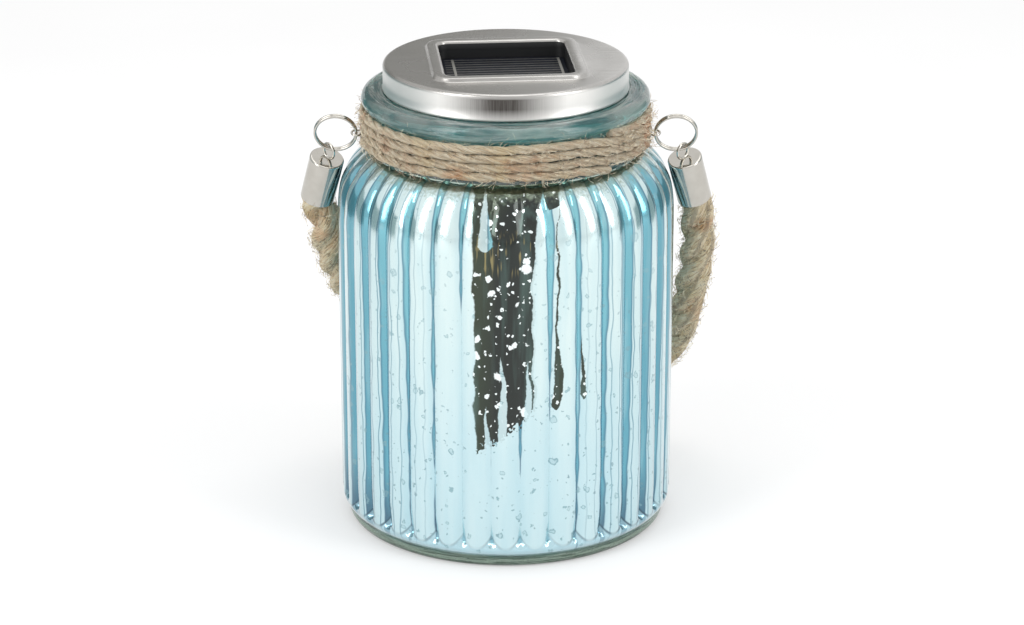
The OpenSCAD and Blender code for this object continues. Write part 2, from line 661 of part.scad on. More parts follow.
module battery_plate() {
    x1 = cell_c[0] + bay_x / 2 - 0.1;
    color([0.75, 0.75, 0.72]) rotate([0, 0, lid_turn]) {
        translate([x1 - 0.5, cell_c[1] - 4.5, cell_z - 4.5]) cube([0.5, 9, 9]);
        translate([x1 - 0.2, cell_c[1] - 1, cell_z + 2.75]) cube([bay_t + 1.2, 2, 0.5]);
        translate([cell_c[0] + cell_l / 2 + 1.5, cell_c[1], cell_z]) rotate([0, 90, 0])
            cylinder(h = x1 - 0.2 - cell_c[0] - cell_l / 2 - 1.5, r = 2.4, $fn = 32);
    }
}

module battery_door() {
    color([0.12, 0.12, 0.13]) rotate([0, 0, lid_turn]) difference() {
        union() {
            translate([cell_c[0] - door_x / 2, cell_c[1] - door_y / 2, housing_z])
                cube([door_x, door_y, door_t]);
            translate([cell_c[0], cell_c[1] - 3.5, housing_z])
                cube([door_screw_x + 3.5 - cell_c[0], 7, door_t]);
        }
        translate([door_screw_x, cell_c[1], housing_z - e])
            cylinder(h = door_t + 2 * e, d = screw_d + 2 * drop_gap, $fn = 24);
    }
}

module door_screw() {
    color([0.7, 0.7, 0.7]) rotate([0, 0, lid_turn])
        translate([door_screw_x, cell_c[1], housing_z - head_h]) screw(door_screw_l);
}

module wire(p, s) {
    line = smooth([for (q = p) q + [s, 0, 0]], 3);
    tube(line, [for (q = line) wire_d / 2], [0.3, 1, 0], 8);
}

module panel_wires() {
    b = board_z + board_t;
    color([0.7, 0.1, 0.1]) rotate([0, 0, lid_turn]) for (s = [-0.8, 0.8])
        wire([[-3, 0, panel_z], [-3, 0, plate_z - plate_t - 1], [-4.5, -1.5, b + 6],
            [-7, -4, b + 2.5], [-7, -6, b + 1.3], [-7, -6, b + 0.2]], s);
}

module battery_wires() {
    b = board_z + board_t;
    x0 = cell_c[0] - bay_x / 2 - bay_t - 0.7;
    x1 = cell_c[0] + bay_x / 2 + bay_t + 0.7;
    y = cell_c[1];
    y1 = y - bay_y / 2 - bay_t;
    tab = cell_z + 3.35;
    color([0.1, 0.1, 0.1]) rotate([0, 0, lid_turn]) {
        wire([[x0, y, tab], [x0, y, tab + 1.1], [x0 - 0.3, (y + y1) / 2 + 0.6, tab + 2.2],
            [x0 - 0.3, y1 - 2.5, tab + 2], [x0 + 4, y1 - 6, b + 3.5], [2.5 - board_x / 2, -4, b + 2.5],
            [5 - board_x / 2, -7, b + 1.3], [5 - board_x / 2, -7, b + 0.2]], 0);
        wire([[x1, y, tab], [x1, y, tab + 1.1], [x1 + 0.3, (y + y1) / 2 + 0.6, tab + 2.2],
            [x1 + 0.3, y1 - 2.5, tab + 2], [x1 - 3, y1 - 6, b + 3.5], [board_x / 2 - 4, -4, b + 2.5],
            [board_x / 2 - 7, -7, b + 1.3], [board_x / 2 - 7, -7, b + 0.2]], 0);
    }
}

jar_glass();
neck_twine();
neck_studs();
neck_eye_left();
neck_eye_right();
split_ring_left();
split_ring_right();
cap_eye_left();
cap_eye_right();
rope_cap_left();
rope_cap_right();
handle_rope();
lid_cover();
solar_tray();
solar_panel();
module_housing();
seal_ring();
bottom_cover();
cover_screws();
circuit_board();
board_screws();
leds();
led_lens();
switch_body();
switch_knob();
battery_cell();
battery_spring();
battery_plate();
battery_door();
door_screw();
panel_wires();
battery_wires();
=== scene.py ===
# %% [markdown]
# # A jar lantern with a rope handle and a solar lid
# The engineering model of the lantern comes in first, as a fixed frame of plain parts.
# Everything that follows is laid over that frame, in metres, in the same place, so the
# finer pieces keep the sizes and the joints of the real thing.

# %% Load the frame
import math
from types import SimpleNamespace

import bmesh
import bpy
from mathutils import Matrix, Vector


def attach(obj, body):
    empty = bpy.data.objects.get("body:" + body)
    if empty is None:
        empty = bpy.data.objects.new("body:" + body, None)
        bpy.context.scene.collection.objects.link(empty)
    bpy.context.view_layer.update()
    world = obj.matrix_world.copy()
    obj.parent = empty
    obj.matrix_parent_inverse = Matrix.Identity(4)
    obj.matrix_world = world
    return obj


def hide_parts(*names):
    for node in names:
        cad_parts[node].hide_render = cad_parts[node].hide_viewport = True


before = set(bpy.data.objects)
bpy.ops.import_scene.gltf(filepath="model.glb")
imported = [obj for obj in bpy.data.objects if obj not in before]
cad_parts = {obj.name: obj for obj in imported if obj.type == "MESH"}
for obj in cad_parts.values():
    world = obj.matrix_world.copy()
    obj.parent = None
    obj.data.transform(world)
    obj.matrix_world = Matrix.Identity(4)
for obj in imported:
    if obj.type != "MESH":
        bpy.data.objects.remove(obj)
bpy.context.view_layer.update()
MM = 0.001

# %% [markdown]
# ## Small helpers
# Colours are written as they look on a screen, so one function turns them into the
# linear values that a renderer adds up. Another adds a node with its settings and links,
# for materials and geometry alike. The last ones draw a mesh through loops of points and
# put a finished one in the scene.

# %% Colour and node helpers
def linear(hex_colour):
    parts = [int(hex_colour[i:i + 2], 16) / 255 for i in (1, 3, 5)]
    return tuple(c / 12.92 if c <= 0.04045 else ((c + 0.055) / 1.055) ** 2.4 for c in parts) + (1,)


def add(tree, kind, inputs=(), **settings):
    """A node. Its inputs come in order or by name, as values, "#" colours, sockets or nodes."""
    made = tree.nodes.new(kind)
    for key, value in settings.items():
        setattr(made, key, value)
    for key, value in inputs.items() if isinstance(inputs, dict) else enumerate(inputs):
        if isinstance(value, bpy.types.Node):
            value = next(socket for socket in value.outputs if socket.enabled)
        if isinstance(value, bpy.types.NodeSocket):
            tree.links.new(value, made.inputs[key])
        elif isinstance(value, str) and value.startswith("#"):
            made.inputs[key].default_value = linear(value)
        else:
            made.inputs[key].default_value = value
    return made


def finish_material(name, build):
    """A new material. build(tree) returns its shader, or its shader and a volume."""
    made = bpy.data.materials.new(name)
    made.use_nodes = True
    made.node_tree.nodes.clear()
    ends = build(made.node_tree)
    add(made.node_tree, "ShaderNodeOutputMaterial", ends if isinstance(ends, tuple) else (ends,))
    return made


print("#808080 is", round(linear("#808080")[0], 3), "of white's light")

# %% Object and mesh helpers
def shown(name, data):
    """An object of this data, in the scene."""
    made = bpy.data.objects.new(name, data)
    bpy.context.collection.objects.link(made)
    return made


def place(name, mesh, body, slot=None, replaces=(), smooth=True, sharp=None):
    """The mesh as a piece of the lantern, on its body, with its own place in its points."""
    piece = shown(name, mesh)
    if smooth:
        mesh.shade_smooth()
    if sharp:
        mesh.set_sharp_from_angle(angle=math.radians(sharp))
    if replaces:
        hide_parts(*replaces)
    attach(piece, body)
    return piece


print("ready:", shown.__name__, place.__name__)

# %% Draw a mesh through loops
def loft(loops, close_loop=False):
    """A closed mesh through loops of points, all of one count, in millimetres. The last loop
    meets the first, or a face closes each end."""
    mesh, count = bmesh.new(), len(loops[0])
    rows = [[mesh.verts.new([c * MM for c in p]) for p in loop] for loop in loops]
    pairs = list(zip(rows, rows[1:])) + ([(rows[-1], rows[0])] if close_loop else [])
    for a, b in pairs:
        for i in range(count):
            mesh.faces.new((a[i], a[(i + 1) % count], b[(i + 1) % count], b[i]))
    if not close_loop:
        mesh.faces.new(list(reversed(rows[0])))
        mesh.faces.new(rows[-1])
    bmesh.ops.recalc_face_normals(mesh, faces=mesh.faces)
    made = bpy.data.meshes.new("loft")
    mesh.to_mesh(made)
    mesh.free()
    return made


def turned(mesh, matrix):
    mesh.transform(matrix)
    return mesh


print("ready:", loft.__name__, turned.__name__)

# %% Draw circles, arcs and lines
def circle(radius, height, angles):
    return [(radius * math.cos(a), radius * math.sin(a), height) for a in angles]


def arc(x, z, radius, start, end, count):
    """Points of an arc in a profile, from one angle to another in degrees."""
    angles = [math.radians(start + (end - start) * i / count) for i in range(count + 1)]
    return [(x + radius * math.cos(a), z + radius * math.sin(a)) for a in angles]


def through(points, steps):
    """A smooth line through the points, the same one that the frame's rope follows."""
    made = []
    for i in range(len(points) - 1):
        a, b = points[max(i - 1, 0)], points[i]
        c, d = points[i + 1], points[min(i + 2, len(points) - 1)]
        for k in range(steps):
            t = k / steps
            made.append(0.5 * (2 * b + (c - a) * t + (2 * a - 5 * b + 4 * c - d) * t ** 2
                               + (3 * b - a - 3 * c + d) * t ** 3))
    return made + [points[-1]]


print("a quarter arc of 6 steps has", len(arc(0, 0, 1, 0, 90, 6)), "points")

# %% [markdown]
# ## The camera
# A jar about 17 cm tall, seen from a little over a metre away and from about twenty
# degrees above, shows its lid as a flat ellipse and its base as a rounder one. A long
# lens keeps its sides nearly upright.

# %% Place the camera
VIEW_TILT = math.radians(20.24)
VIEW_FAR = 1186.9 * MM
AIM = Vector((2.2 * MM, 0, 74.6 * MM))
# the focal length in pixels of a picture so many pixels wide, and the sensor's width in mm
FOCAL_PIXELS, PICTURE_PIXELS, SENSOR = 3287, 1024, 36
camera_data = bpy.data.cameras.new("camera")
camera_data.lens = SENSOR * FOCAL_PIXELS / PICTURE_PIXELS
camera_data.clip_end = 20
camera = shown("camera", camera_data)
camera.location = AIM + VIEW_FAR * Vector((0, -math.cos(VIEW_TILT), math.sin(VIEW_TILT)))
camera.rotation_euler = (math.pi / 2 - VIEW_TILT, 0, 0)
bpy.context.scene.camera = camera
print("lens", round(camera_data.lens, 1), "mm, from", [round(x, 3) for x in camera.location])

# %% [markdown]
# ## How the handle hangs
# The rope's two metal caps hang from split rings at the sides of the neck. The whole
# handle leans back and rests behind the jar. These numbers, in millimetres, are the
# frame's own: where its hinge line is, how far it leans, and where each cap starts.

# %% The handle's frame
PIVOT = 142.4757
LEAN, SPLAY, HOOK_AT = math.radians(20), math.radians(13), math.radians(70)
RING_X, HOOK_R, CAP_L = 60.25, 6.35, 18.0
EYE_R, EYE_TO_CAP = 2.3, 3.0
cap_way = Vector((math.sin(SPLAY), 0, -math.cos(SPLAY)))
hook = Vector((RING_X + HOOK_R * math.cos(HOOK_AT), 0, -HOOK_R * math.sin(HOOK_AT)))
cap_top = hook + (EYE_R + EYE_TO_CAP) * cap_way


def lean(point):
    """A point of the handle's own axes, leant back and raised to the hinge line."""
    return Matrix.Rotation(LEAN, 3, "X") @ Vector(point) + Vector((0, 0, PIVOT))


print("cap top", [round(c, 1) for c in lean(cap_top)])

# %% [markdown]
# ## Trees of geometry nodes
# What repeats or follows a path is made by a tree of geometry nodes with named inputs.
# Every tree here starts and ends alike, so two helpers do that. A tree's result is turned
# into a plain mesh and its carrier is thrown away.

# %% Start and end a tree
SOCKETS = {int: "NodeSocketInt", float: "NodeSocketFloat", tuple: "NodeSocketVector",
           type(None): "NodeSocketMaterial"}


def start_tree(name, sizes):
    """A new tree and its inputs, which are a geometry and the sizes with their usual values."""
    tree = bpy.data.node_groups.new(name, "GeometryNodeTree")
    for way in ("INPUT", "OUTPUT"):
        tree.interface.new_socket("Geometry", in_out=way, socket_type="NodeSocketGeometry")
    for label, usual in sizes.items():
        made = tree.interface.new_socket(label, in_out="INPUT", socket_type=SOCKETS[type(usual)])
        if usual is not None:
            made.default_value = usual
    return tree, add(tree, "NodeGroupInput").outputs


def end_tree(tree, shape, material, **chosen):
    """The tree's end: the shape made real, and dressed in the material where it is chosen."""
    whole = add(tree, "GeometryNodeRealizeInstances", (shape,))
    dressed = add(tree, "GeometryNodeSetMaterial", {"Geometry": whole, "Material": material, **chosen})
    add(tree, "NodeGroupOutput", (dressed,))
    print(tree.name, "inputs", [i.name for i in tree.interface.items_tree if i.in_out == "INPUT"])
    return tree


print("a tree's inputs can be", sorted(kind.__name__ for kind in SOCKETS))

# %% Grow a mesh from a tree
def grown(carrier, tree, **values):
    """The mesh that the tree makes of an object, with its inputs set by name."""
    modifier = carrier.modifiers.new("grow", "NODES")
    modifier.node_group = tree
    for item in tree.interface.items_tree:
        if item.item_type == "SOCKET" and item.in_out == "INPUT" and item.name in values:
            modifier[item.identifier] = values[item.name]
    bpy.context.view_layer.update()
    ready = carrier.evaluated_get(bpy.context.evaluated_depsgraph_get())
    made = bpy.data.meshes.new_from_object(ready)
    carrier.modifiers.remove(modifier)
    bpy.data.objects.remove(carrier)
    return made


def line_object(points):
    """A carrier for a tree: a line through the points, which are in millimetres."""
    curve = bpy.data.curves.new("line", "CURVE")
    curve.dimensions = "3D"
    spline = curve.splines.new("POLY")
    spline.points.add(len(points) - 1)
    for made, point in zip(spline.points, points):
        made.co = (*(c * MM for c in point), 1)
    return shown("line", curve)


print("ready:", grown.__name__, line_object.__name__)

# %% [markdown]
# ## Twisted cord
# Jute yarns are laid round each other to make twine, and thicker strands to make rope.
# One tree does both. It copies a line once for each strand, winds the copies round the
# line, gives them a round section, and scatters loose hairs over them. Each point keeps
# how far along and round its strand it lies, for the fibres' pattern.

# %% Let the strands stray a little
def stray(tree, entry, run):
    """How far a point is past the nearer cap, and how it strays in waves of 7 mm. The ends
    lie true, where a cap holds the cord."""
    total = add(tree, "GeometryNodeSplineLength").outputs["Length"]
    rest = add(tree, "ShaderNodeMath", (total, run), operation="SUBTRACT")
    to_end = add(tree, "ShaderNodeMath", (run, rest), operation="MINIMUM")
    past_cap = add(tree, "ShaderNodeMath", (to_end, entry["Bare Ends"]), operation="SUBTRACT")
    loose = add(tree, "ShaderNodeMapRange", (past_cap, 0.0, 15 * MM, 0.0, entry["Unevenness"]))
    wobble = add(tree, "ShaderNodeTexNoise", {"Scale": 1 / (6.67 * MM), "Detail": 1.0}).outputs["Color"]
    centred = add(tree, "ShaderNodeVectorMath", (wobble, (0.5, 0.5, 0.5)), operation="SUBTRACT")
    return past_cap, add(tree, "ShaderNodeVectorMath", {0: centred, "Scale": loose}, operation="SCALE")


print("ready:", stray.__name__)

# %% Wind the strands
def wind_strands(tree, entry):
    """Copies of the line, wound round it. Each point keeps its run along the cord, how far it
    is past the nearer cap, and the number of its strand."""
    line = add(tree, "GeometryNodeResampleCurve",
               {"Curve": entry["Geometry"], "Length": entry["Step"]}, mode="LENGTH")
    run = add(tree, "GeometryNodeSplineParameter").outputs["Length"]
    copies = add(tree, "GeometryNodeDuplicateElements",
                 {"Geometry": line, "Amount": entry["Strands"]}, domain="SPLINE")
    ply = copies.outputs["Duplicate Index"]
    share = add(tree, "ShaderNodeMath", (ply, entry["Strands"]), operation="DIVIDE")
    laps = add(tree, "ShaderNodeMath", (run, entry["Lay"]), operation="DIVIDE")
    turns = add(tree, "ShaderNodeMath", (laps, share))
    angle = add(tree, "ShaderNodeMath", (turns, math.tau), operation="MULTIPLY")
    across = add(tree, "GeometryNodeInputNormal")
    aside = add(tree, "ShaderNodeVectorMath", (add(tree, "GeometryNodeInputTangent"), across),
                operation="CROSS_PRODUCT")
    ways = []
    for way, wave in ((across, "COSINE"), (aside, "SINE")):
        part = add(tree, "ShaderNodeMath", (angle,), operation=wave)
        ways.append(add(tree, "ShaderNodeVectorMath", {0: way, "Scale": part}, operation="SCALE"))
    round_line = add(tree, "ShaderNodeVectorMath", ways)
    wound = add(tree, "ShaderNodeVectorMath", {0: round_line, "Scale": entry["Winding Radius"]},
                operation="SCALE")
    past_cap, uneven = stray(tree, entry, run)
    moved = add(tree, "ShaderNodeVectorMath", (wound, uneven))
    strands = add(tree, "GeometryNodeSetPosition", {"Geometry": copies, "Offset": moved})
    for label, value, domain in (
            ("run", run, "POINT"), ("past_cap", past_cap, "POINT"), ("ply", ply, "CURVE")):
        strands = add(tree, "GeometryNodeStoreNamedAttribute",
                      {"Geometry": strands, "Name": label, "Value": value}, domain=domain)
    return strands


print("ready:", wind_strands.__name__)

# %% Give them a skin and hairs
def strand_skin(tree, entry, strands):
    """A round section along each strand. Each point keeps how far round it lies."""
    section = add(tree, "GeometryNodeCurvePrimitiveCircle",
                  {"Resolution": entry["Sides"], "Radius": entry["Strand Radius"]})
    part = add(tree, "GeometryNodeSplineParameter").outputs["Factor"]
    section = add(tree, "GeometryNodeStoreNamedAttribute",
                  {"Geometry": section, "Name": "round", "Value": part})
    return add(tree, "GeometryNodeCurveToMesh",
               {"Curve": strands, "Profile Curve": section, "Fill Caps": True})


def one_hair(tree, entry):
    """A bent hair of few faces, with a mark by which its material knows it."""
    bend = add(tree, "GeometryNodeCurvePrimitiveBezierSegment",
               {"Resolution": 4, "Start": (0, 0, 0), "Start Handle": (0, 0.1, 0.25),
                "End Handle": (0.1, 0.5, 0.35), "End": (0.3, 0.95, 0.3)})
    size = add(tree, "ShaderNodeVectorMath", {0: (1, 1, 1), "Scale": entry["Hair Length"]},
               operation="SCALE")
    bend = add(tree, "GeometryNodeTransform", {"Geometry": bend, "Scale": size})
    thread = add(tree, "GeometryNodeCurvePrimitiveCircle",
                 {"Resolution": 3, "Radius": entry["Hair Radius"]})
    hair = add(tree, "GeometryNodeCurveToMesh", {"Curve": bend, "Profile Curve": thread})
    return add(tree, "GeometryNodeStoreNamedAttribute",
               {"Geometry": hair, "Name": "hair", "Value": 1.0})


def loose_hairs(tree, entry, skin):
    """Hairs of mixed lengths all over the strands, but not inside the caps."""
    outside = add(tree, "GeometryNodeInputNamedAttribute", {"Name": "past_cap"})
    free = add(tree, "ShaderNodeMath", (outside, 0.0), operation="GREATER_THAN")
    dots = add(tree, "GeometryNodeDistributePointsOnFaces", {
        "Mesh": skin, "Selection": free, "Density": entry["Hairs"], "Seed": entry["Seed"]}).outputs
    spin = add(tree, "FunctionNodeRandomValue", {2: 0.0, 3: math.tau, "Seed": entry["Seed"]})
    twist = add(tree, "ShaderNodeCombineXYZ", {"Z": spin})
    way = add(tree, "FunctionNodeRotateEuler", {"Rotation": dots["Rotation"], "Rotate By": twist},
              rotation_type="EULER", space="LOCAL")
    size = add(tree, "FunctionNodeRandomValue", {2: 0.35, 3: 1.0, "Seed": entry["Seed"]})
    return add(tree, "GeometryNodeInstanceOnPoints", {
        "Points": dots["Points"], "Instance": one_hair(tree, entry), "Rotation": way, "Scale": size})


print("ready:", strand_skin.__name__, one_hair.__name__, loose_hairs.__name__)

# %% Join them in one tree
def cord_tree():
    tree, entry = start_tree("lay_cord", {
        "Strands": 3, "Lay": 0.03, "Strand Radius": 0.003, "Winding Radius": 0.003, "Step": 0.001,
        "Sides": 12, "Hairs": 100000.0, "Hair Length": 0.003, "Hair Radius": 0.00005,
        "Unevenness": 0.0002, "Bare Ends": 0.0, "Seed": 1, "Fibre": None})
    skin = strand_skin(tree, entry, wind_strands(tree, entry))
    joined = add(tree, "GeometryNodeJoinGeometry")
    for part in (loose_hairs(tree, entry, skin), add(tree, "GeometryNodeSetShadeSmooth", (skin,))):
        tree.links.new(part.outputs[0], joined.inputs[0])
    return end_tree(tree, joined, entry["Fibre"])


lay_cord = cord_tree()

# %% [markdown]
# ## Layers of shade
# A worn or hand-finished surface is a pile of layers: a ground, and over it streaks, runs
# and spots that each come in somewhere. One function lays such a pile from a table, and
# another joins ramps into the share of a layer that shows, so a finish reads as a list.
# A line along an edge starts from how far a value is from the edge's level.

# %% Lay shades by a table
def shades(tree, ground, rows):
    """Shades over a ground. A row is a value, the levels where its shade starts and is
    full, how much of it there is at most, and the shade."""
    for value, start, full, most, shade in rows:
        share = add(tree, "ShaderNodeMapRange", (value, start, full, 0.0, most))
        ground = add(tree, "ShaderNodeMix", {0: share, 6: ground, 7: shade}, data_type="RGBA")
    return ground


def ramps(tree, operation, rows):
    """Ramps joined by one operation. A row is a value, the levels where its ramp starts and
    ends, and what the ramp is there."""
    whole, *others = [add(tree, "ShaderNodeMapRange", row) for row in rows]
    for ramp in others:
        whole = add(tree, "ShaderNodeMath", (whole, ramp), operation=operation)
    return whole


def apart(tree, value, level):
    """How far the value is from a level, on either side."""
    past = add(tree, "ShaderNodeMath", (value, level), operation="SUBTRACT")
    return add(tree, "ShaderNodeMath", (past,), operation="ABSOLUTE")


print("ready:", shades.__name__, ramps.__name__, apart.__name__)

# %% [markdown]
# ## Jute
# Jute is a dry bast fibre, spun into coarse yarn. It is matt, pale gold to brown, and its fibres lie at
# a slant along each strand, with a painted shade in the hollows between them. The pattern follows each
# strand: a stretched noise for the fibres, and a slow one for the stained and sun-bleached stretches.

# %% The jute's material
def jute(name, pale, dark, hollow_shade, warm, cool, slant):
    """Jute of three tones, from its pale fibres to the painted shade of the hollows between them, with
    two tints for its stains. The fibres go round the strand at a slant of so many turns a metre."""
    def build(tree):
        run, around, ply, hair = [
            add(tree, "ShaderNodeAttribute", attribute_name=mark).outputs["Fac"]
            for mark in ("run", "round", "ply", "hair")]
        # round goes from 0 to 1, so a turn of the slant hides its seam
        slanted = add(tree, "ShaderNodeMath", (run, slant, around), operation="MULTIPLY_ADD")
        angle = add(tree, "ShaderNodeMath", (slanted, math.tau), operation="MULTIPLY")
        cosine = add(tree, "ShaderNodeMath", (angle,), operation="COSINE")
        sine = add(tree, "ShaderNodeMath", (angle,), operation="SINE")
        far = add(tree, "ShaderNodeMath", (run, 36.0, ply), operation="MULTIPLY_ADD")
        where = add(tree, "ShaderNodeCombineXYZ", (cosine, sine, far))
        # a bundle of fibres is a sixth of the strand's radius wide, 0.6 mm on the rope and
        # 0.15 mm on the twine, and about 5 mm long. A stained stretch is 14 mm long
        fibres = add(tree, "ShaderNodeTexNoise", {
            "Vector": where, "W": ply, "Scale": 6.0, "Detail": 5.0, "Roughness": 0.75},
            noise_dimensions="4D")
        spots = add(tree, "ShaderNodeTexCoord").outputs["Object"]
        stain = add(tree, "ShaderNodeTexNoise", {
            "Vector": spots, "Scale": 1 / (14.3 * MM), "Detail": 3.0}).outputs["Color"]
        # loose hairs lie in tufts 1.6 mm wide, some of them in shadow
        tuft = add(tree, "ShaderNodeTexNoise", {
            "Vector": spots, "Scale": 1 / (1.6 * MM), "Detail": 3.0, "Roughness": 0.6})
        tufted = shades(tree, pale, ((tuft, 0.46, 0.50, 0.5, dark), (tuft, 0.50, 0.58, 0.9, hollow_shade)))
        # the fibres' tones run from pale down to a painted shade in the low hollows
        tone = add(tree, "ShaderNodeValToRGB", (fibres,))
        tone.color_ramp.elements.new(0.47)
        for stop, at, shade in zip(tone.color_ramp.elements, (0.36, 0.47, 0.56), (hollow_shade, dark, pale)):
            stop.position, stop.color = at, linear(shade)
        for part, colour, low, high in ((0, warm, 0.52, 0.68), (1, cool, 0.55, 0.72)):
            hue = add(tree, "ShaderNodeSeparateColor", (stain,)).outputs[part]
            tint = shades(tree, "#ffffff", ((hue, low, high, 0.75, colour),))
            tone = add(tree, "ShaderNodeMix", {0: 1.0, 6: tone, 7: tint},
                       data_type="RGBA", blend_type="MULTIPLY")
        tone = shades(tree, tone, ((hair, 0.0, 1.0, 1.0, tufted),))
        relief = add(tree, "ShaderNodeBump", {"Height": fibres, "Strength": 1.0, "Distance": 1.5 * MM})
        return add(tree, "ShaderNodeBsdfPrincipled",
                   {"Base Color": tone, "Roughness": 0.85, "Sheen Weight": 0.3, "Normal": relief})
    return finish_material(name, build)


rope_jute = jute("rope_jute", "#fff5d8", "#ecd3a4", "#5e401d", "#e2b183", "#dad6a8", slant=-26.0)
twine_jute = jute("twine_jute", "#fff6de", "#f5daae", "#74471f", "#e8ae7c", "#fdf3d6", slant=-40.0)
print("made", rope_jute.name, twine_jute.name)

# %% [markdown]
# ## The rope handle
# A three-strand rope about 12 mm thick, laid hard enough to hold a curve. It comes out of its caps,
# hangs beside the jar and passes behind it. It is a free cord, so it is made first.

# %% Lay the rope
# the middle of the route, with heights for a hinge line at ROUTE_PIVOT
ROUTE_PIVOT = 142.65
ROUTE = [(-65, 13.5, 106), (-64.5, 18, 96), (-62, 25.5, 85), (-59, 32.5, 75), (-55, 39, 66),
         (-46, 49.5, 52.5), (-31, 60, 39), (-11, 66.8, 28), (12, 68.5, 22.5), (33, 66, 23),
         (48, 61, 28.5), (57.5, 53.5, 37.5), (63, 45, 48), (66.5, 35, 62), (68.5, 26, 78),
         (69.8, 19, 93), (69.4, 14.5, 105)]
lowered = PIVOT - ROUTE_PIVOT
# each end starts 16.7 mm deep in its cap and comes out of it straight
ends = [lean(cap_top + (CAP_L - deep) * cap_way) for deep in (16.7, -0.5, -2.3)]
left_ends = [Vector((-p.x, p.y, p.z)) for p in ends]
middle_run = [Vector((x, y, z + lowered)) for x, y, z in ROUTE]
rope_line = left_ends[:2] + through([left_ends[2]] + middle_run + [ends[2]], 6) + ends[1::-1]
rope_mesh = grown(line_object(rope_line), lay_cord, **{
    "Strands": 3, "Lay": 0.042, "Strand Radius": 0.00345, "Winding Radius": 0.00268,
    "Step": 0.0012, "Sides": 14, "Hairs": 330000.0, "Hair Length": 0.004,
    "Hair Radius": 0.0001, "Unevenness": 0.0014, "Bare Ends": 0.021, "Seed": 4,
    "Fibre": rope_jute})
rope = place("handle_rope_laid", rope_mesh, "handle", "rope", ["handle_rope"], smooth=False)

# %% [markdown]
# ## The twine round the neck
# Four turns of a thinner jute twine hide the place where the swivel eyes come out of the
# neck. It is one length that steps down a turn at the front right, and its lowest turn
# dips to leave room for the eyes at both sides. The same tree lays its strands.

# %% Wind the twine
TWINE_R, TWINE_TOP, TWINE_PITCH, TURNS = 50.096, 151.594, 3.25, 4
# bearings and half widths in degrees: where a turn steps down, and the dips at the eyes
STEP_AT, STEP_HALF, DIP_HALF, DIP_DEEP = 315, 20, 22, 1.987


def ease(t):
    t = min(max(t, 0), 1)
    return t * t * (3 - 2 * t)


def twine_point(turned_by):
    lap = turned_by / 360
    near = math.floor(lap + 0.5)
    past = (lap - near) * 360
    at = turned_by + STEP_AT
    drop = TWINE_PITCH * (near - 1 + ease((past + STEP_HALF) / (2 * STEP_HALF)))
    beside = abs(((at + 90) % 180) - 90)
    dip = math.cos(math.radians(beside * 90 / DIP_HALF)) ** 2 if beside < DIP_HALF else 0
    height = TWINE_TOP - drop - DIP_DEEP * dip * ease((turned_by - 360 * (TURNS - 1) - 20) / 20)
    # hand-wound turns waver a little
    height += 0.25 * math.sin(turned_by / 17) * math.sin(turned_by / 41)
    return (TWINE_R * math.cos(math.radians(at)), TWINE_R * math.sin(math.radians(at)), height)


twine_line = [twine_point(a) for a in range(0, 360 * TURNS + 1, 4)]
twine_mesh = grown(line_object(twine_line), lay_cord, **{
    "Strands": 3, "Lay": 0.022, "Strand Radius": 0.00088, "Winding Radius": 0.00078,
    "Step": 0.0014, "Sides": 8, "Hairs": 200000.0, "Hair Length": 0.0048,
    "Hair Radius": 0.00009, "Unevenness": 0.0008, "Seed": 9, "Fibre": twine_jute})
place("neck_twine_laid", twine_mesh, "jar", "twine", ["neck_twine"], smooth=False)
print("twine", len(twine_mesh.polygons), "faces")

# %% [markdown]
# ## Clear glass
# The jar is pressed soda-lime glass with a light blue tint. Its rim and its thick base
# stay clear. Glass takes its colour from its depth, so a volume darkens it, and the mould
# and the cooling left faint rings 1 to 3 mm apart that bend what is seen through it.

# %% Clear tinted glass
def build_tinted_glass(tree):
    # height plus radius counts the rings, so they cross flat tops as well as walls
    spots = add(tree, "ShaderNodeTexCoord").outputs["Object"]
    level = add(tree, "ShaderNodeVectorMath", (spots, (1.0, 1.0, 0.0)), operation="MULTIPLY")
    radius = add(tree, "ShaderNodeVectorMath", (level,), operation="LENGTH")
    side = add(tree, "ShaderNodeSeparateXYZ", (spots,)).outputs
    count = add(tree, "ShaderNodeMath", (side["Z"], radius))
    around = add(tree, "ShaderNodeVectorMath", {0: level, "Scale": 0.1}, operation="SCALE")
    height = add(tree, "ShaderNodeCombineXYZ", {"Z": count})
    rings = add(tree, "ShaderNodeVectorMath", (around, height))
    lines = add(tree, "ShaderNodeTexNoise", {"Vector": rings, "Scale": 1 / (1.8 * MM), "Detail": 2.0})
    # the thick foot looks a darker green
    # the mould rings are tinted pale and teal in turn, and their pale lines are painted highlights
    tint = shades(tree, "#46a0a2", ((lines, 0.42, 0.57, 1.0, "#e6faf5"),
                                    (side["Z"], 0.006, 0.003, 1.0, "#8fa894")))
    wavy = add(tree, "ShaderNodeBump", {"Height": lines, "Strength": 0.75, "Distance": 0.001})
    shader = add(tree, "ShaderNodeBsdfPrincipled",
                 {"Base Color": tint, "Roughness": 0.03, "IOR": 1.5, "Transmission Weight": 0.84,
                  "Normal": wavy})
    depth = add(tree, "ShaderNodeVolumeAbsorption", {"Color": "#45b5a4", "Density": 20.0})
    return shader, depth


tinted_glass = finish_material("tinted_glass", build_tinted_glass)
print("made", tinted_glass.name)
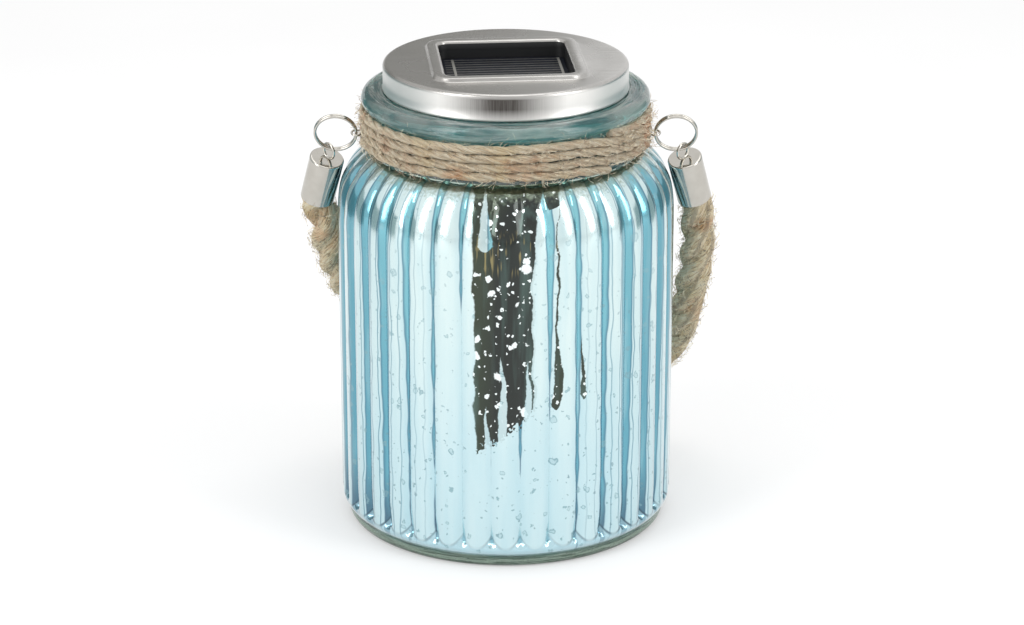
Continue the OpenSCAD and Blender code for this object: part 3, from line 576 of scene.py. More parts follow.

# %% [markdown]
# ## Silvered glass
# The body is silvered and lacquered in the old way of mercury glass, which hides what is inside and
# mirrors the room in every rib. The film is a metal under a glossy coat of glass. It is painted as one
# table of layers, from marks that all of them read: the place on the wall, how near the next groove is,
# and noises from the fine to the slow. Some of the layers are painted shade and painted reflections.

# %% What the film's layers read
def film_marks(tree):
    spots = add(tree, "ShaderNodeTexCoord").outputs["Object"]
    # streaks run up the wall: their pattern is drawn out along the jar's height
    tall = add(tree, "ShaderNodeMapping", {"Vector": spots, "Scale": (1.0, 1.0, 0.1)})
    side = add(tree, "ShaderNodeSeparateXYZ", (spots,)).outputs
    marks = {"tall": tall, "x": side["X"], "y": side["Y"], "z": side["Z"],
             "off": add(tree, "ShaderNodeMath", (side["X"],), operation="ABSOLUTE"),
             "near": add(tree, "ShaderNodeAttribute", attribute_name="groove").outputs["Fac"]}
    # streaks are 4 mm wide and the broad ones 18, and edges are ragged by 1 mm
    for name, vector, size, detail in (("streaks", tall, 3.85, 3.0), ("broad", tall, 18.2, 1.0),
                                       ("ragged", spots, 1.11, 2.0), ("wander", spots, 11.1, 1.0)):
        marks[name] = add(tree, "ShaderNodeTexNoise",
                          {"Vector": vector, "Scale": 1 / (size * MM), "Detail": detail})
    # drops are not quite round: their cells are looked up a little off the mark
    bent = add(tree, "ShaderNodeTexNoise", {"Vector": spots, "Scale": 1 / (1.67 * MM), "Detail": 2.0})
    marks["drops"] = add(tree, "ShaderNodeVectorMath",
                         (bent.outputs["Color"], (0.002, 0.002, 0.003), spots), operation="MULTIPLY_ADD")
    return SimpleNamespace(**marks)


print("ready:", film_marks.__name__)

# %% Crests and blue runs, with painted shade
def film_crests(tree, film):
    # nearly white and a cooler blue low down, with a painted shade in the grooves and a deeper painted
    # shade at the sides, where more of the grooves shows
    hollow_shade = ramps(tree, "MULTIPLY", (
        (film.near, 0.35, 1.0, 0.0, 1.0), (film.off, 0.01, 0.045, 0.35, 1.0)))
    return shades(tree, "#d9ecec", (
        (film.z, 0.085, 0.04, 1.0, "#cbe4e9"), (film.streaks, 0.35, 0.75, 0.32, "#a7d2de"),
        (hollow_shade, 0.0, 1.0, 0.45, "#93c8d9"), (film.off, 0.03, 0.054, 0.2, "#7fb4bf")))


def film_runs_and_shade(tree, film, crests):
    # the lacquer ran down the grooves: wide at the shoulder, narrow below. Their extra width and darker
    # blue at the sides, and their extra width on the left, are painted shade
    wide = ramps(tree, "ADD", (
        (film.z, 0.03, 0.13, 0.1, 0.46), (film.off, 0.012, 0.05, -0.2, 0.2),
        (film.x, -0.034, -0.056, 0.0, 0.3), (film.broad, 0.0, 1.0, -0.45, 0.45),
        (film.wander, 0.0, 1.0, -0.15, 0.15)))
    inward = add(tree, "ShaderNodeMath", (film.near, wide))
    blue = shades(tree, "#5fabbf", (
        (film.z, 0.05, 0.12, 1.0, "#7cc3cf"), (film.streaks, 0.5, 0.62, 0.5, "#b4dde4"),
        (film.off, 0.03, 0.054, 0.7, "#35889f"), (inward, 1.2, 1.05, 1.0, "#27708a"),
        (film.z, 0.03, 0.012, 0.8, "#2d5570"), (wide, 0.14, 0.03, 0.75, "#39506f")))
    # a second, fainter line of painted shade runs along each rib at the sides
    line = add(tree, "ShaderNodeMath", (film.wander, 0.5, film.near), operation="MULTIPLY_ADD")
    line = ramps(tree, "MULTIPLY", ((apart(tree, line, 0.61), 0.07, 0.02, 0.0, 0.75),
                                    (film.off, 0.022, 0.042, 0.0, 1.0)))
    return shades(tree, crests, ((inward, 1.0, 1.07, 0.92, blue), (line, 0.0, 1.0, 1.0, "#417f97")))


print("ready:", film_crests.__name__, film_runs_and_shade.__name__)

# %% Tongues at the foot
def film_tongues(tree, film, colour):
    # each rib's tongue is outlined where it meets the smooth foot by a dark line of painted shade,
    # darker towards the sides
    drop = add(tree, "ShaderNodeMath", (film.near, 2.0), operation="POWER")
    above = add(tree, "ShaderNodeMath", (drop, -0.0042, film.z), operation="MULTIPLY_ADD")
    outline = ramps(tree, "MULTIPLY", (
        (apart(tree, above, 0.0078), 0.0009, 0.0003, 0.0, 1.0), (film.broad, 0.35, 0.55, 0.25, 0.8),
        (film.near, 0.15, 0.5, 0.3, 1.0), (film.off, 0.015, 0.04, 0.4, 1.15)))
    return shades(tree, colour, ((outline, 0.0, 1.0, 1.0, "#2f5062"),
                                 (above, 0.0078, 0.0074, 0.5, "#a8cfdc")))


print("ready:", film_tongues.__name__)

# %% Rings and grit
def spot_depth(tree, film, size, share, largest, soft):
    """How deep a point lies in a round spot, below 0 outside. A share of the cells, each
    size mm wide, has one."""
    cells = add(tree, "ShaderNodeTexVoronoi", {"Vector": film.drops, "Scale": 1 / (size * MM)}).outputs
    chance = add(tree, "ShaderNodeSeparateColor", (cells["Color"],)).outputs["Red"]
    radius = add(tree, "ShaderNodeMapRange", (chance, 1 - share, 1.0, -soft, largest))
    return add(tree, "ShaderNodeMath", (radius, cells["Distance"]), operation="SUBTRACT")


def film_rings(tree, film, colour):
    # drops of solvent ate rings into the film, most of them on the lower half
    many = (film.z, 0.12, 0.05, 0.35, 1.0)
    for size, share, largest, shade in ((9.1, 0.85, 0.22, "#64909c"), (5.9, 0.85, 0.24, "#7199a2"),
                                        (3.85, 0.8, 0.26, "#7ba0a8")):
        deep = spot_depth(tree, film, size, share, largest, 0.02)
        rim = ramps(tree, "MULTIPLY", ((apart(tree, deep, 0.04), 0.012, 0.045, 0.7, 0.0), many))
        colour = shades(tree, colour, ((rim, 0.0, 1.0, 1.0, shade), (deep, 0.0, 0.02, 0.3, "#8db4bd")))
    deep = spot_depth(tree, film, 1.92, 0.5, 0.34, 0.05)
    grit = ramps(tree, "MULTIPLY", ((deep, 0.0, 0.05, 0.0, 0.6), many))
    return shades(tree, colour, ((grit, 0.0, 1.0, 1.0, "#6d929c"),))


print("ready:", spot_depth.__name__, film_rings.__name__)

# %% [markdown]
# ## The painted dark reflection
# At the front a dark reflection is painted on the film as a tall window. Its lower edge is ragged and
# climbs to the right, pale tongues reach into it, and dark slivers of painted reflection stand beside
# it. Each of these is one upright lobe, so two short tables place them. White flecks of film are left on
# it, and gold glints are painted on it.

# %% Where the dark reflection is painted
# middle, half width, foot and top of each lobe, in mm
TONGUES = ((-6.7, 1.6, 30, 62), (-1, 1.8, 30, 80.5), (8.1, 1.4, 30, 79), (-6.8, 2.6, 118, 139),
           (12.6, 3.2, 50, 137))
SLIVERS = ((18, 1.9, 59.5, 90), (17.6, 0.5, 70, 138), (26.8, 1.2, 62, 86))


def lobe(tree, film, across, middle, half, low, high):
    """1 inside an upright tongue, round below and drawn out above."""
    wide = half * MM
    for start, full, bend in ((high, high - 22, 0.7), (low, low + 2, 0.5)):
        end = add(tree, "ShaderNodeMapRange", (film.z, start * MM, full * MM))
        end = add(tree, "ShaderNodeMath", (end, bend), operation="POWER")
        wide = add(tree, "ShaderNodeMath", (wide, end), operation="MULTIPLY")
    off = apart(tree, across, middle * MM)
    inside = add(tree, "ShaderNodeMath", (wide, off), operation="SUBTRACT")
    return add(tree, "ShaderNodeMapRange", (inside, 0.0, 0.3 * MM))


# the painted dark reflection at the front: a window with its pale tongues and dark slivers
def film_dark_reflection(tree, film):
    across = ramps(tree, "ADD", (
        (film.x, -0.1, 0.1, -0.1, 0.1), (film.wander, 0.0, 1.0, -0.002, 0.002),
        (film.ragged, 0.0, 1.0, -0.0004, 0.0004)))
    edge = ramps(tree, "ADD", (
        (film.x, -0.1, 0.1, 0.072, -0.072), (film.z, 0.0, 0.2, 0.0, 0.2),
        (film.ragged, 0.0, 1.0, 0.006, -0.006), (film.streaks, 0.0, 1.0, 0.008, -0.008)))
    # the painted dark patch is wider close under the twine
    right = ramps(tree, "ADD", ((across, -0.1, 0.1, -0.1, 0.1), (film.z, 0.13, 0.1325, 0.0, -0.008)))
    painted_dark = ramps(tree, "MULTIPLY", (
        (across, -0.0112, -0.0107, 0.0, 1.0), (right, 0.0105, 0.01, 0.0, 1.0),
        (edge, 0.051, 0.0516, 0.0, 1.0)))
    for row in TONGUES:
        left = add(tree, "ShaderNodeMapRange", (lobe(tree, film, across, *row), 0.0, 1.0, 1.0, 0.15))
        painted_dark = add(tree, "ShaderNodeMath", (painted_dark, left), operation="MULTIPLY")
    for row in SLIVERS:
        painted_dark = add(tree, "ShaderNodeMath", (painted_dark, lobe(tree, film, across, *row)), operation="MAXIMUM")
    front = add(tree, "ShaderNodeMapRange", (film.y, -0.03, -0.032))
    return add(tree, "ShaderNodeMath", (painted_dark, front), operation="MULTIPLY")


print("the bare window has", len(TONGUES), "tongues and", len(SLIVERS), "slivers")

# %% What the painted reflection shows
def film_painted_reflection(tree, film, colour):
    # the painted glints are upright lines 1 mm wide
    upright = add(tree, "ShaderNodeTexNoise",
                  {"Vector": film.tall, "Scale": 1 / (0.91 * MM), "Detail": 1.0})
    painted_glint = ramps(tree, "MULTIPLY", (
        (upright, 0.6, 0.7, 0.0, 0.6), (film.z, 0.108, 0.112, 0.0, 1.0),
        (film.z, 0.126, 0.12, 0.0, 1.0)))
    dark = shades(tree, "#37442f", (
        (film.broad, 0.3, 0.7, 1.0, "#121c17"), (film.streaks, 0.5, 0.75, 0.6, "#547069"),
        (painted_glint, 0.0, 1.0, 1.0, "#ab9c66")))
    for size, share, largest in ((9.5, 0.9, 0.3), (4.2, 0.9, 0.32), (1.92, 0.7, 0.38)):
        deep = spot_depth(tree, film, size, share, largest, 0.04)
        dark = shades(tree, dark, ((deep, 0.0, 0.04, 1.0, "#f1fafa"),))
    return shades(tree, colour, ((film_dark_reflection(tree, film), 0.0, 1.0, 1.0, dark),))


print("ready:", film_painted_reflection.__name__)

# %% Both sides of the film
def build_silvered_glass(tree):
    film = film_marks(tree)
    colour = film_crests(tree, film)
    for layer in (film_runs_and_shade, film_tongues, film_rings, film_painted_reflection):
        colour = layer(tree, film, colour)
    # close under the twine a painted reflection of its tan
    twine_reflection = add(tree, "ShaderNodeMath", (film.ragged, 0.008, film.z), operation="MULTIPLY_ADD")
    colour = shades(tree, colour, ((twine_reflection, 0.1375, 0.1415, 0.7, "#86957f"),))
    ripple = add(tree, "ShaderNodeBump", {"Height": film.streaks, "Strength": 0.3, "Distance": 0.0005})
    return add(tree, "ShaderNodeBsdfPrincipled",
               {"Base Color": colour, "Metallic": 0.9, "Roughness": 0.17,
                "Coat Weight": 1.0, "Coat Roughness": 0.05, "Normal": ripple})


def build_silver_film(tree):
    # the film's back, inside the jar, is a duller grey with clouds 17 mm wide
    spots = add(tree, "ShaderNodeTexCoord").outputs["Object"]
    clouds = add(tree, "ShaderNodeTexNoise", {"Vector": spots, "Scale": 1 / (16.7 * MM), "Detail": 4.0})
    tone = shades(tree, "#c9cfd0", ((clouds, 0.0, 1.0, 1.0, "#9aa6a8"),))
    return add(tree, "ShaderNodeBsdfPrincipled",
               {"Base Color": tone, "Metallic": 1.0, "Roughness": 0.22})


silvered_glass = finish_material("silvered_glass", build_silvered_glass)
silver_film = finish_material("silver_film", build_silver_film)
print("made", silvered_glass.name, silver_film.name, len(silvered_glass.node_tree.nodes), "nodes")

# %% [markdown]
# ## Ribs by rule
# Thirty-six ribs stand round the body. They run up over the shoulder to the neck, and at
# the foot each ends in a rounded tongue. Turning a profile gives a smooth jar, and a tree
# of geometry nodes then presses the grooves in: it takes each point's angle round the
# axis, measures how near the next groove is, and moves the point inwards.

# %% The tree that presses the grooves
def groove_tree():
    tree, entry = start_tree("press_grooves", {
        "Ribs": 36.0, "Depth": 0.001, "Edge": 2.5, "Film": None})
    side = add(tree, "ShaderNodeSeparateXYZ", (add(tree, "GeometryNodeInputPosition"),)).outputs
    angle = add(tree, "ShaderNodeMath", (side["Y"], side["X"]), operation="ARCTAN2")
    counted = add(tree, "ShaderNodeMath", (angle, entry["Ribs"]), operation="MULTIPLY")
    laps = add(tree, "ShaderNodeMath", (counted, math.tau), operation="DIVIDE")
    # from 0 on a rib's crest to 1 in the groove
    wave = add(tree, "ShaderNodeMath", (laps, 0.5), operation="PINGPONG")
    near = add(tree, "ShaderNodeMath", (wave, 2.0), operation="MULTIPLY")
    dent = add(tree, "ShaderNodeMath", (near, entry["Edge"]), operation="POWER")
    strength = add(tree, "GeometryNodeInputNamedAttribute", {"Name": "strength"})
    pressed = add(tree, "ShaderNodeMath", (dent, strength), operation="MULTIPLY")
    deep = add(tree, "ShaderNodeMath", (pressed, entry["Depth"]), operation="MULTIPLY")
    flat = add(tree, "ShaderNodeCombineXYZ", (side["X"], side["Y"]))
    outward = add(tree, "ShaderNodeVectorMath", (flat,), operation="NORMALIZE")
    back = add(tree, "ShaderNodeMath", (deep, -1.0), operation="MULTIPLY")
    move = add(tree, "ShaderNodeVectorMath", {0: outward, "Scale": back}, operation="SCALE")
    keep = add(tree, "GeometryNodeStoreNamedAttribute",
               {"Geometry": entry["Geometry"], "Name": "groove", "Value": near})
    shaped = add(tree, "GeometryNodeSetPosition", {"Geometry": keep, "Offset": move})
    filmed = add(tree, "GeometryNodeInputNamedAttribute", {"Name": "silvered"}, data_type="BOOLEAN")
    return end_tree(tree, shaped, entry["Film"], Selection=filmed)


press_grooves = groove_tree()

# %% Draw the jar's profile
NECK_R, JAR_H, MOUTH_R = 48.196, 159.194, 40.496
BODY_R, BODY_H, ARC_X, ARC_R = 60, 117.5, 36, 24.0
CLEAR, SILVERED, FILM_INSIDE = 0, 1, 2


def soft_wall(height):
    """The body's radius, with the bend into the shoulder softened. It is a mean of 13
    heights up to 8 mm away, and the middle one counts most. Near 130 mm they draw together."""
    reach = 8 * (1 - ease((height - 119) / 11))
    steps = range(-6, 7)
    plain = [math.sqrt(ARC_R ** 2 - max(height + reach * k / 6 - BODY_H, 0) ** 2) for k in steps]
    return ARC_X + sum((7 - abs(k)) * r for k, r in zip(steps, plain)) / 49


def smooth_rows(kind, *points):
    """Rows without grooves."""
    return [(r, z, 0, kind) for r, z in points]


# each row is a radius, a height, the grooves' strength and the glass's kind. The rows go
# from the middle of the base outwards, up the outside and down the inside
rows = smooth_rows(CLEAR, (3, 1.5), (30, 1.5), (45.6, 1.5), (46, 1.1), (46, 0.3), (46.3, 0),
                   *arc(55.1, 2.5, 2.5, -90, 0, 6), (57.6, 4.3))
rows += [(r, z, 1.7 * ease((z - 7) / 3), SILVERED) for r, z in arc(54, 9.3, 6, -53, 0, 12)]
rows += [(BODY_R, z, 1.7 - 0.7 * ease((z - 10) / 9), SILVERED)
         for z in (9.7, 10.1, 10.8, 11.5, 13, 15, 17, 19, 30, 45, 60, 75, 90)]
rows += [(soft_wall(z), z, 1, SILVERED) for z in range(100, 131, 2)]
rows += [(r, z, 1 - 0.45 * ease((z - 131) / 7), SILVERED)
         for r, z in arc(ARC_X, BODY_H, ARC_R, 34.5, 59.3, 12)]
rows += smooth_rows(CLEAR, *((NECK_R, z) for z in (138.6, 142, 147, 152.6)),
                    *arc(47.896, JAR_H - 3.1, 3.1, -80, 88, 18), (42.2, JAR_H),
                    *arc(41.5, JAR_H - 1, 1, 90, 180, 5), (MOUTH_R, 153.6), (43.6, 150.3),
                    (43.696, 149.8), (43.696, 140))
rows += smooth_rows(FILM_INSIDE, *arc(ARC_X, BODY_H, 19.5, 66.75, 0, 14),
                    *((55.5, z) for z in (95, 70, 45, 20)), *arc(50.5, 11, 5, 0, -90, 8),
                    (30, 6), (3, 6))
print("profile", len(rows), "rows, from", rows[0][:2], "to", rows[-1][:2], "mm")

# %% Turn it and press the grooves
RIBS = 36
AROUND = RIBS * 12
angles = [math.tau * i / AROUND for i in range(AROUND)]
jar_mesh = loft([circle(r, z, angles) for r, z, strength, kind in rows])
strengths = jar_mesh.attributes.new("strength", "FLOAT", "POINT")
strengths.data.foreach_set("value", [row[2] for row in rows for i in range(AROUND)])
silvered = jar_mesh.attributes.new("silvered", "BOOLEAN", "FACE")
inner = []
for number, polygon in enumerate(jar_mesh.polygons):
    row = min(v // AROUND for v in polygon.vertices)
    kind, is_cap = rows[row][3], len(polygon.vertices) > 4
    silvered.data[number].value = kind == SILVERED and not is_cap
    inner.append(int(kind == FILM_INSIDE or (is_cap and row > 0)))
jar_mesh.materials.append(tinted_glass)
jar_mesh.materials.append(silver_film)
jar_mesh.polygons.foreach_set("material_index", inner)
jar_mesh = grown(shown("jar", jar_mesh), press_grooves, Ribs=float(RIBS), Depth=0.0013, Edge=2.4,
                 Film=silvered_glass)
place("jar_pressed", jar_mesh, "jar", "glass", ["jar_glass"], sharp=50)
print("jar", len(jar_mesh.polygons), "faces", [m.name for m in jar_mesh.materials])

# %% [markdown]
# ## Metals
# The lid is pressed from stainless sheet and brushed in one direction, so it shows fine
# lines and soft, drawn-out reflections. The caps, rings and eyes are nickel plated and
# polished, nearly a mirror, with faint wear.

# %% Brushed steel
def build_brushed_steel(tree):
    spots = add(tree, "ShaderNodeTexCoord").outputs["Object"]
    side = add(tree, "ShaderNodeSeparateXYZ", (spots,)).outputs
    # brush lines run left to right on the top and upright on the skirt.
    # The real ones are 0.05 mm apart, drawn here at 0.3 mm
    over = add(tree, "ShaderNodeMapping", {"Vector": spots, "Scale": (0.02, 1.0, 1.0)})
    down = add(tree, "ShaderNodeMapping", {"Vector": spots, "Scale": (1.0, 1.0, 0.02)})
    skirt = add(tree, "ShaderNodeMapRange", (side["Z"], 0.1682, 0.1672))
    way = add(tree, "ShaderNodeMix", {0: skirt, 4: over, 5: down}, data_type="VECTOR")
    lines = add(tree, "ShaderNodeTexNoise", {"Vector": way, "Scale": 1 / (0.3 * MM), "Detail": 2.0})
    clouds = add(tree, "ShaderNodeTexNoise", {"Vector": spots, "Scale": 1 / (22 * MM), "Detail": 2.0})
    # a painted dark reflection on the front of the skirt
    skirt_dark_reflection = ramps(tree, "MULTIPLY", (
        (apart(tree, side["X"], -0.001), 0.022, 0.004, 0.0, 0.96), (skirt, 0.0, 1.0, 0.0, 1.0),
        (side["Y"], -0.03, -0.035, 0.0, 1.0), (lines, 0.2, 0.65, 0.85, 1.0),
        (side["Z"], 0.1598, 0.1638, 0.3, 1.0)))
    # the lid is painted darker towards the left as painted shade, and its skirt painted lighter as
    # painted light
    tone = shades(tree, "#cfcdca", (
        (lines, 0.0, 1.0, 1.0, "#a3a19d"), (clouds, 0.4, 0.7, 0.35, "#8f8e8b"),
        (side["X"], 0.03, -0.035, 0.45, "#807d79"), (skirt, 0.0, 1.0, 0.75, "#f6f5f2"),
        (skirt_dark_reflection, 0.0, 1.0, 1.0, "#2e2722")))
    rough = ramps(tree, "ADD", ((clouds, 0.0, 1.0, 0.2, 0.34), (skirt, 0.0, 1.0, 0.0, 0.12)))
    relief = add(tree, "ShaderNodeBump", {"Height": lines, "Strength": 0.15, "Distance": 0.0001})
    return add(tree, "ShaderNodeBsdfPrincipled",
               {"Base Color": tone, "Metallic": 1.0, "Roughness": rough, "Normal": relief})


brushed_steel = finish_material("brushed_steel", build_brushed_steel)
print("made", brushed_steel.name)

# %% Polished nickel
def build_polished_nickel(tree):
    # faint clouds of wear, 4 to 5 mm wide, in the tone and the polish
    spots = add(tree, "ShaderNodeTexCoord").outputs["Object"]
    clouds = add(tree, "ShaderNodeTexNoise", {"Vector": spots, "Scale": 1 / (4.55 * MM), "Detail": 3.0})
    tone = shades(tree, "#c9c6bf", ((clouds, 0.0, 1.0, 1.0, "#b4b0a8"),))
    rough = add(tree, "ShaderNodeMapRange", (clouds, 0.0, 1.0, 0.08, 0.13))
    return add(tree, "ShaderNodeBsdfPrincipled",
               {"Base Color": tone, "Metallic": 1.0, "Roughness": rough})


polished_nickel = finish_material("polished_nickel", build_polished_nickel)
print("made", polished_nickel.name)

# %% [markdown]
# ## Moulded parts
# Plastics, rubber and small metal parts all leave a mould or a die with the same kind of
# skin: two tones too near to tell apart, a polish that varies a little, and a fine grain.
# One recipe covers them, from a table of their own colours and gloss.

# %% Plastics, rubber and small metals
def moulded(name, pale, dark, roughness, grain=1.1, **sockets):
    """Moulded or drawn stock: two near tones in 14 mm clouds, and a grain of so many mm."""
    def build(tree):
        spots = add(tree, "ShaderNodeTexCoord").outputs["Object"]
        specks = add(tree, "ShaderNodeTexNoise",
                     {"Vector": spots, "Scale": 1 / (grain * MM), "Detail": 2.0})
        clouds = add(tree, "ShaderNodeTexNoise", {"Vector": spots, "Scale": 1 / (14.3 * MM)})
        tone = shades(tree, pale, ((clouds, 0.0, 1.0, 1.0, dark),))
        rough = add(tree, "ShaderNodeMapRange", (specks, 0.0, 1.0, roughness - 0.06, roughness + 0.08))
        relief = add(tree, "ShaderNodeBump", {"Height": specks, "Strength": 0.4, "Distance": 0.03 * MM})
        return add(tree, "ShaderNodeBsdfPrincipled",
                   {"Base Color": tone, "Roughness": rough, "Normal": relief, **sockets})
    return finish_material(name, build)


sealant = moulded("black_sealant", "#121315", "#0c0d0e", 0.5)
print("made", sealant.name)

# %% [markdown]
# ## The lid
# The lid is one pressed sheet: a skirt with a hem, a rounded edge, a flat top, and a
# raised frame round the window. It can be drawn as one skin through loops of points. The
# loops change from circles to rounded squares, and all of them have the same count of
# points at the same bearings, so the skin between them stays even.

# %% The lid's loops
LID_R, LID_Z, LID_TOP = 43.496, 159.394, 168.894
# half the window's sides, and how far out the raised frame goes round it
WINDOW_X, WINDOW_Y, FRAME_OUT, FRAME_CORNER = 22.5, 21.5, 4.2, 6.7
lid_turn = Matrix.Rotation(math.radians(5), 4, "Z")


def rounded(half_x, half_y, corner, height, side=34, bend=16):
    """A rounded square, as a loop of 4 * (side + bend) points."""
    bends = []
    for quarter, (sx, sy) in enumerate(((1, 1), (-1, 1), (-1, -1), (1, -1))):
        middle = Vector((sx * (half_x - corner), sy * (half_y - corner)))
        angles = [math.radians(90 * quarter + 90 * i / (bend - 1)) for i in range(bend)]
        bends.append([middle + corner * Vector((math.cos(a), math.sin(a))) for a in angles])
    made = []
    for this, following in zip(bends, bends[1:] + bends[:1]):
        made += this + [this[-1].lerp(following[0], (i + 1) / (side + 1)) for i in range(side)]
    return [(p.x, p.y, height) for p in made]


frame_edge = rounded(WINDOW_X + FRAME_OUT, WINDOW_Y + FRAME_OUT, FRAME_CORNER, 0)
bearings = [math.atan2(y, x) for x, y, z in frame_edge]


def discs(*rows):
    """Loops round the lid. A row is a radius and a height."""
    return [circle(radius, height, bearings) for radius, height in rows]


def frame_loops(*rows):
    """Loops round the window. A row is how far out, the corner, and how high over the top."""
    return [rounded(WINDOW_X + out, WINDOW_Y + out, corner, LID_TOP + over)
            for out, corner, over in rows]


print("each loop has", len(bearings), "points")

# %% Skin the lid
# up the skirt, over the top, up the raised frame and down to the window's wall
outside = discs((42.2, LID_Z + 0.05), (43.1, LID_Z), (43.4, LID_Z + 0.12), (LID_R, LID_Z + 0.4),
                (LID_R, LID_Z + 0.9), (43.3, LID_Z + 1.25), (43.3, LID_Z + 4), (43.3, LID_TOP - 1.6),
                *arc(41.9, LID_TOP - 1.4, 1.4, 0, 90, 9), (41, LID_TOP), (39, LID_TOP), (36, LID_TOP))
outside += frame_loops((5.4, 7.9, 0), (4.9, 7.4, 0.06), (4.65, 7.15, 0.25),
                       (FRAME_OUT, FRAME_CORNER, 1.1), (4.0, 6.5, 1.32), (3.6, 6.2, 1.4),
                       (1.2, 4.5, 1.38), (0.7, 4.1, 1.28), (0.25, 3.7, 0.95), (0.05, 3.55, 0.5))
# down the wall, then back under the sheet to the hem
inside = frame_loops((0.05, 3.5, -1.7), (0.55, 4.0, -1.7), (0.6, 4.0, -0.7), (4.0, 6.6, -0.7))
inside += discs((41.5, LID_TOP - 0.7), (42.5, LID_TOP - 1.6), (42.7, LID_Z + 1.2),
                (42.2, LID_Z + 0.8))
lid_mesh = turned(loft(outside + inside, close_loop=True), lid_turn)
lid_mesh.materials.append(brushed_steel)
# a bead of black sealant lines the wall of the window, one row of the loops' faces
lid_mesh.materials.append(sealant)
wall = (len(outside) - 1) * len(bearings)
for number in range(wall, wall + len(bearings)):
    lid_mesh.polygons[number].material_index = 1
place("lid_pressed", lid_mesh, "lid", "lid_metal", ["lid_cover"], sharp=40)
print("lid", len(lid_mesh.polygons), "faces")

# %% [markdown]
# ## The solar panel
# A dark silicon cell lies under clear resin, in a black tray behind the window. Silver
# fingers a fraction of a millimetre wide collect its current and meet in two busbars.
# They all repeat by rule, so a tree of geometry nodes copies a thin bar along a line.

# %% The tree that repeats a bar
def bar_tree():
    origin = (0.0, 0.0, 0.0)
    tree, entry = start_tree("repeat_bar", {
        "Count": 10, "First": origin, "Step": origin, "Bar": origin, "Paste": None})
    places = add(tree, "GeometryNodeMeshLine",
                 {"Count": entry["Count"], "Start Location": entry["First"], "Offset": entry["Step"]})
    bar = add(tree, "GeometryNodeMeshCube", {"Size": entry["Bar"]})
    bars = add(tree, "GeometryNodeInstanceOnPoints", {"Points": places, "Instance": bar})
    return end_tree(tree, bars, entry["Paste"])


repeat_bar = bar_tree()

# %% Silicon and silver paste
def build_silicon(tree):
    # crystals about 4 mm wide, each a shade of its own
    spots = add(tree, "ShaderNodeTexCoord").outputs["Object"]
    grains = add(tree, "ShaderNodeTexVoronoi", {"Vector": spots, "Scale": 1 / (3.85 * MM)})
    tone = shades(tree, "#0d0f14", ((grains, 0.0, 1.0, 1.0, "#1a1d25"),))
    return add(tree, "ShaderNodeBsdfPrincipled",
               {"Base Color": tone, "Roughness": 0.4, "Specular IOR Level": 0.07,
                "Coat Weight": 0.06, "Coat Roughness": 0.06})


def build_silver_paste(tree):
    # baked silver paint, matt, with 1 mm patches where it is thin
    spots = add(tree, "ShaderNodeTexCoord").outputs["Object"]
    thin = add(tree, "ShaderNodeTexNoise", {"Vector": spots, "Scale": 1 / (1.1 * MM), "Detail": 2.0})
    tone = shades(tree, "#a9a8a2", ((thin, 0.0, 1.0, 1.0, "#7f7e79"),))
    return add(tree, "ShaderNodeBsdfPrincipled",
               {"Base Color": tone, "Metallic": 0.6, "Roughness": 0.45})


silicon = finish_material("silicon", build_silicon)
silver_paste = finish_material("silver_paste", build_silver_paste)
print("made", silicon.name, silver_paste.name)

# %% Lay the fingers and busbars
PANEL_TOP = 163.894
# a name, how many there are, the first one's middle, the step to the next, and the size, in mm
BARS = (("cell_fingers", 14, (0, -19.2, PANEL_TOP + 0.01), (0, 2.95, 0), (41, 0.3, 0.02)),
        ("cell_busbars", 2, (-17.5, 0, PANEL_TOP + 0.02), (37.9, 0, 0), (0.9, 40, 0.03)))
for name, count, *sizes in BARS:
    first, step, bar = [tuple(c * MM for c in size) for size in sizes]
    mesh = grown(shown(name, bpy.data.meshes.new(name)), repeat_bar, Count=count, First=first,
                 Step=step, Bar=bar, Paste=silver_paste)
    place(name, turned(mesh, lid_turn), "lid", "solar_cell", smooth=False)
    print(name, len(mesh.polygons), "faces")

# %% [markdown]
# ## Inside the lid
# A moulded housing plugs the mouth and carries the light: a board with three diodes under
# a frosted lens, a rechargeable cell behind a small door, and a slide switch. They only
# show when the lid is lifted out, and the engineering model already has their shapes, so
# they keep those and get their materials here. So do the handle's caps, rings and eyes.

# %% Dress the parts that keep their shape
SIDED = ("neck_eye", "split_ring", "cap_eye", "rope_cap")
FINISHES = (
    (moulded("black_abs", "#1b1c1e", "#131415", 0.42),
     ["solar_tray", "module_housing", "bottom_cover", "battery_door"]),
    (moulded("silicone", "#dfe3e2", "#cfd5d5", 0.5, **{"Subsurface Weight": 0.3}), ["seal_ring"]),
    (moulded("zinc_steel", "#b9b7b0", "#a19e96", 0.3, Metallic=1.0),
     ["cover_screws", "board_screws", "door_screw", "neck_studs"]),
    (moulded("epoxy_board", "#1f6b3a", "#185a30", 0.35, grain=0.4), ["circuit_board"]),
    (moulded("led_epoxy", "#f3ecd2", "#e6dcb8", 0.15), ["leds"]),
    (moulded("frosted_pmma", "#eef0ec", "#e3e6e1", 0.55, **{"Transmission Weight": 0.5}),
     ["led_lens"]),
    (moulded("grey_nylon", "#4a4b4e", "#3f4043", 0.5), ["switch_body"]),
    (moulded("white_nylon", "#e9e9e6", "#dcdcd8", 0.45), ["switch_knob"]),
    (moulded("pvc_sleeve", "#2f8a50", "#27763f", 0.3), ["battery_cell"]),
    (moulded("spring_steel", "#c6c2b8", "#aaa69c", 0.25, Metallic=1.0),
     ["battery_spring", "battery_plate"]),
    (moulded("red_pvc", "#b3201c", "#961713", 0.35), ["panel_wires"]),
    (moulded("black_pvc", "#1c1c1d", "#121213", 0.35), ["battery_wires"]),
    (silicon, ["solar_panel"]),
    (polished_nickel, [f"{part}_{side}" for side in ("left", "right") for part in SIDED]),
)
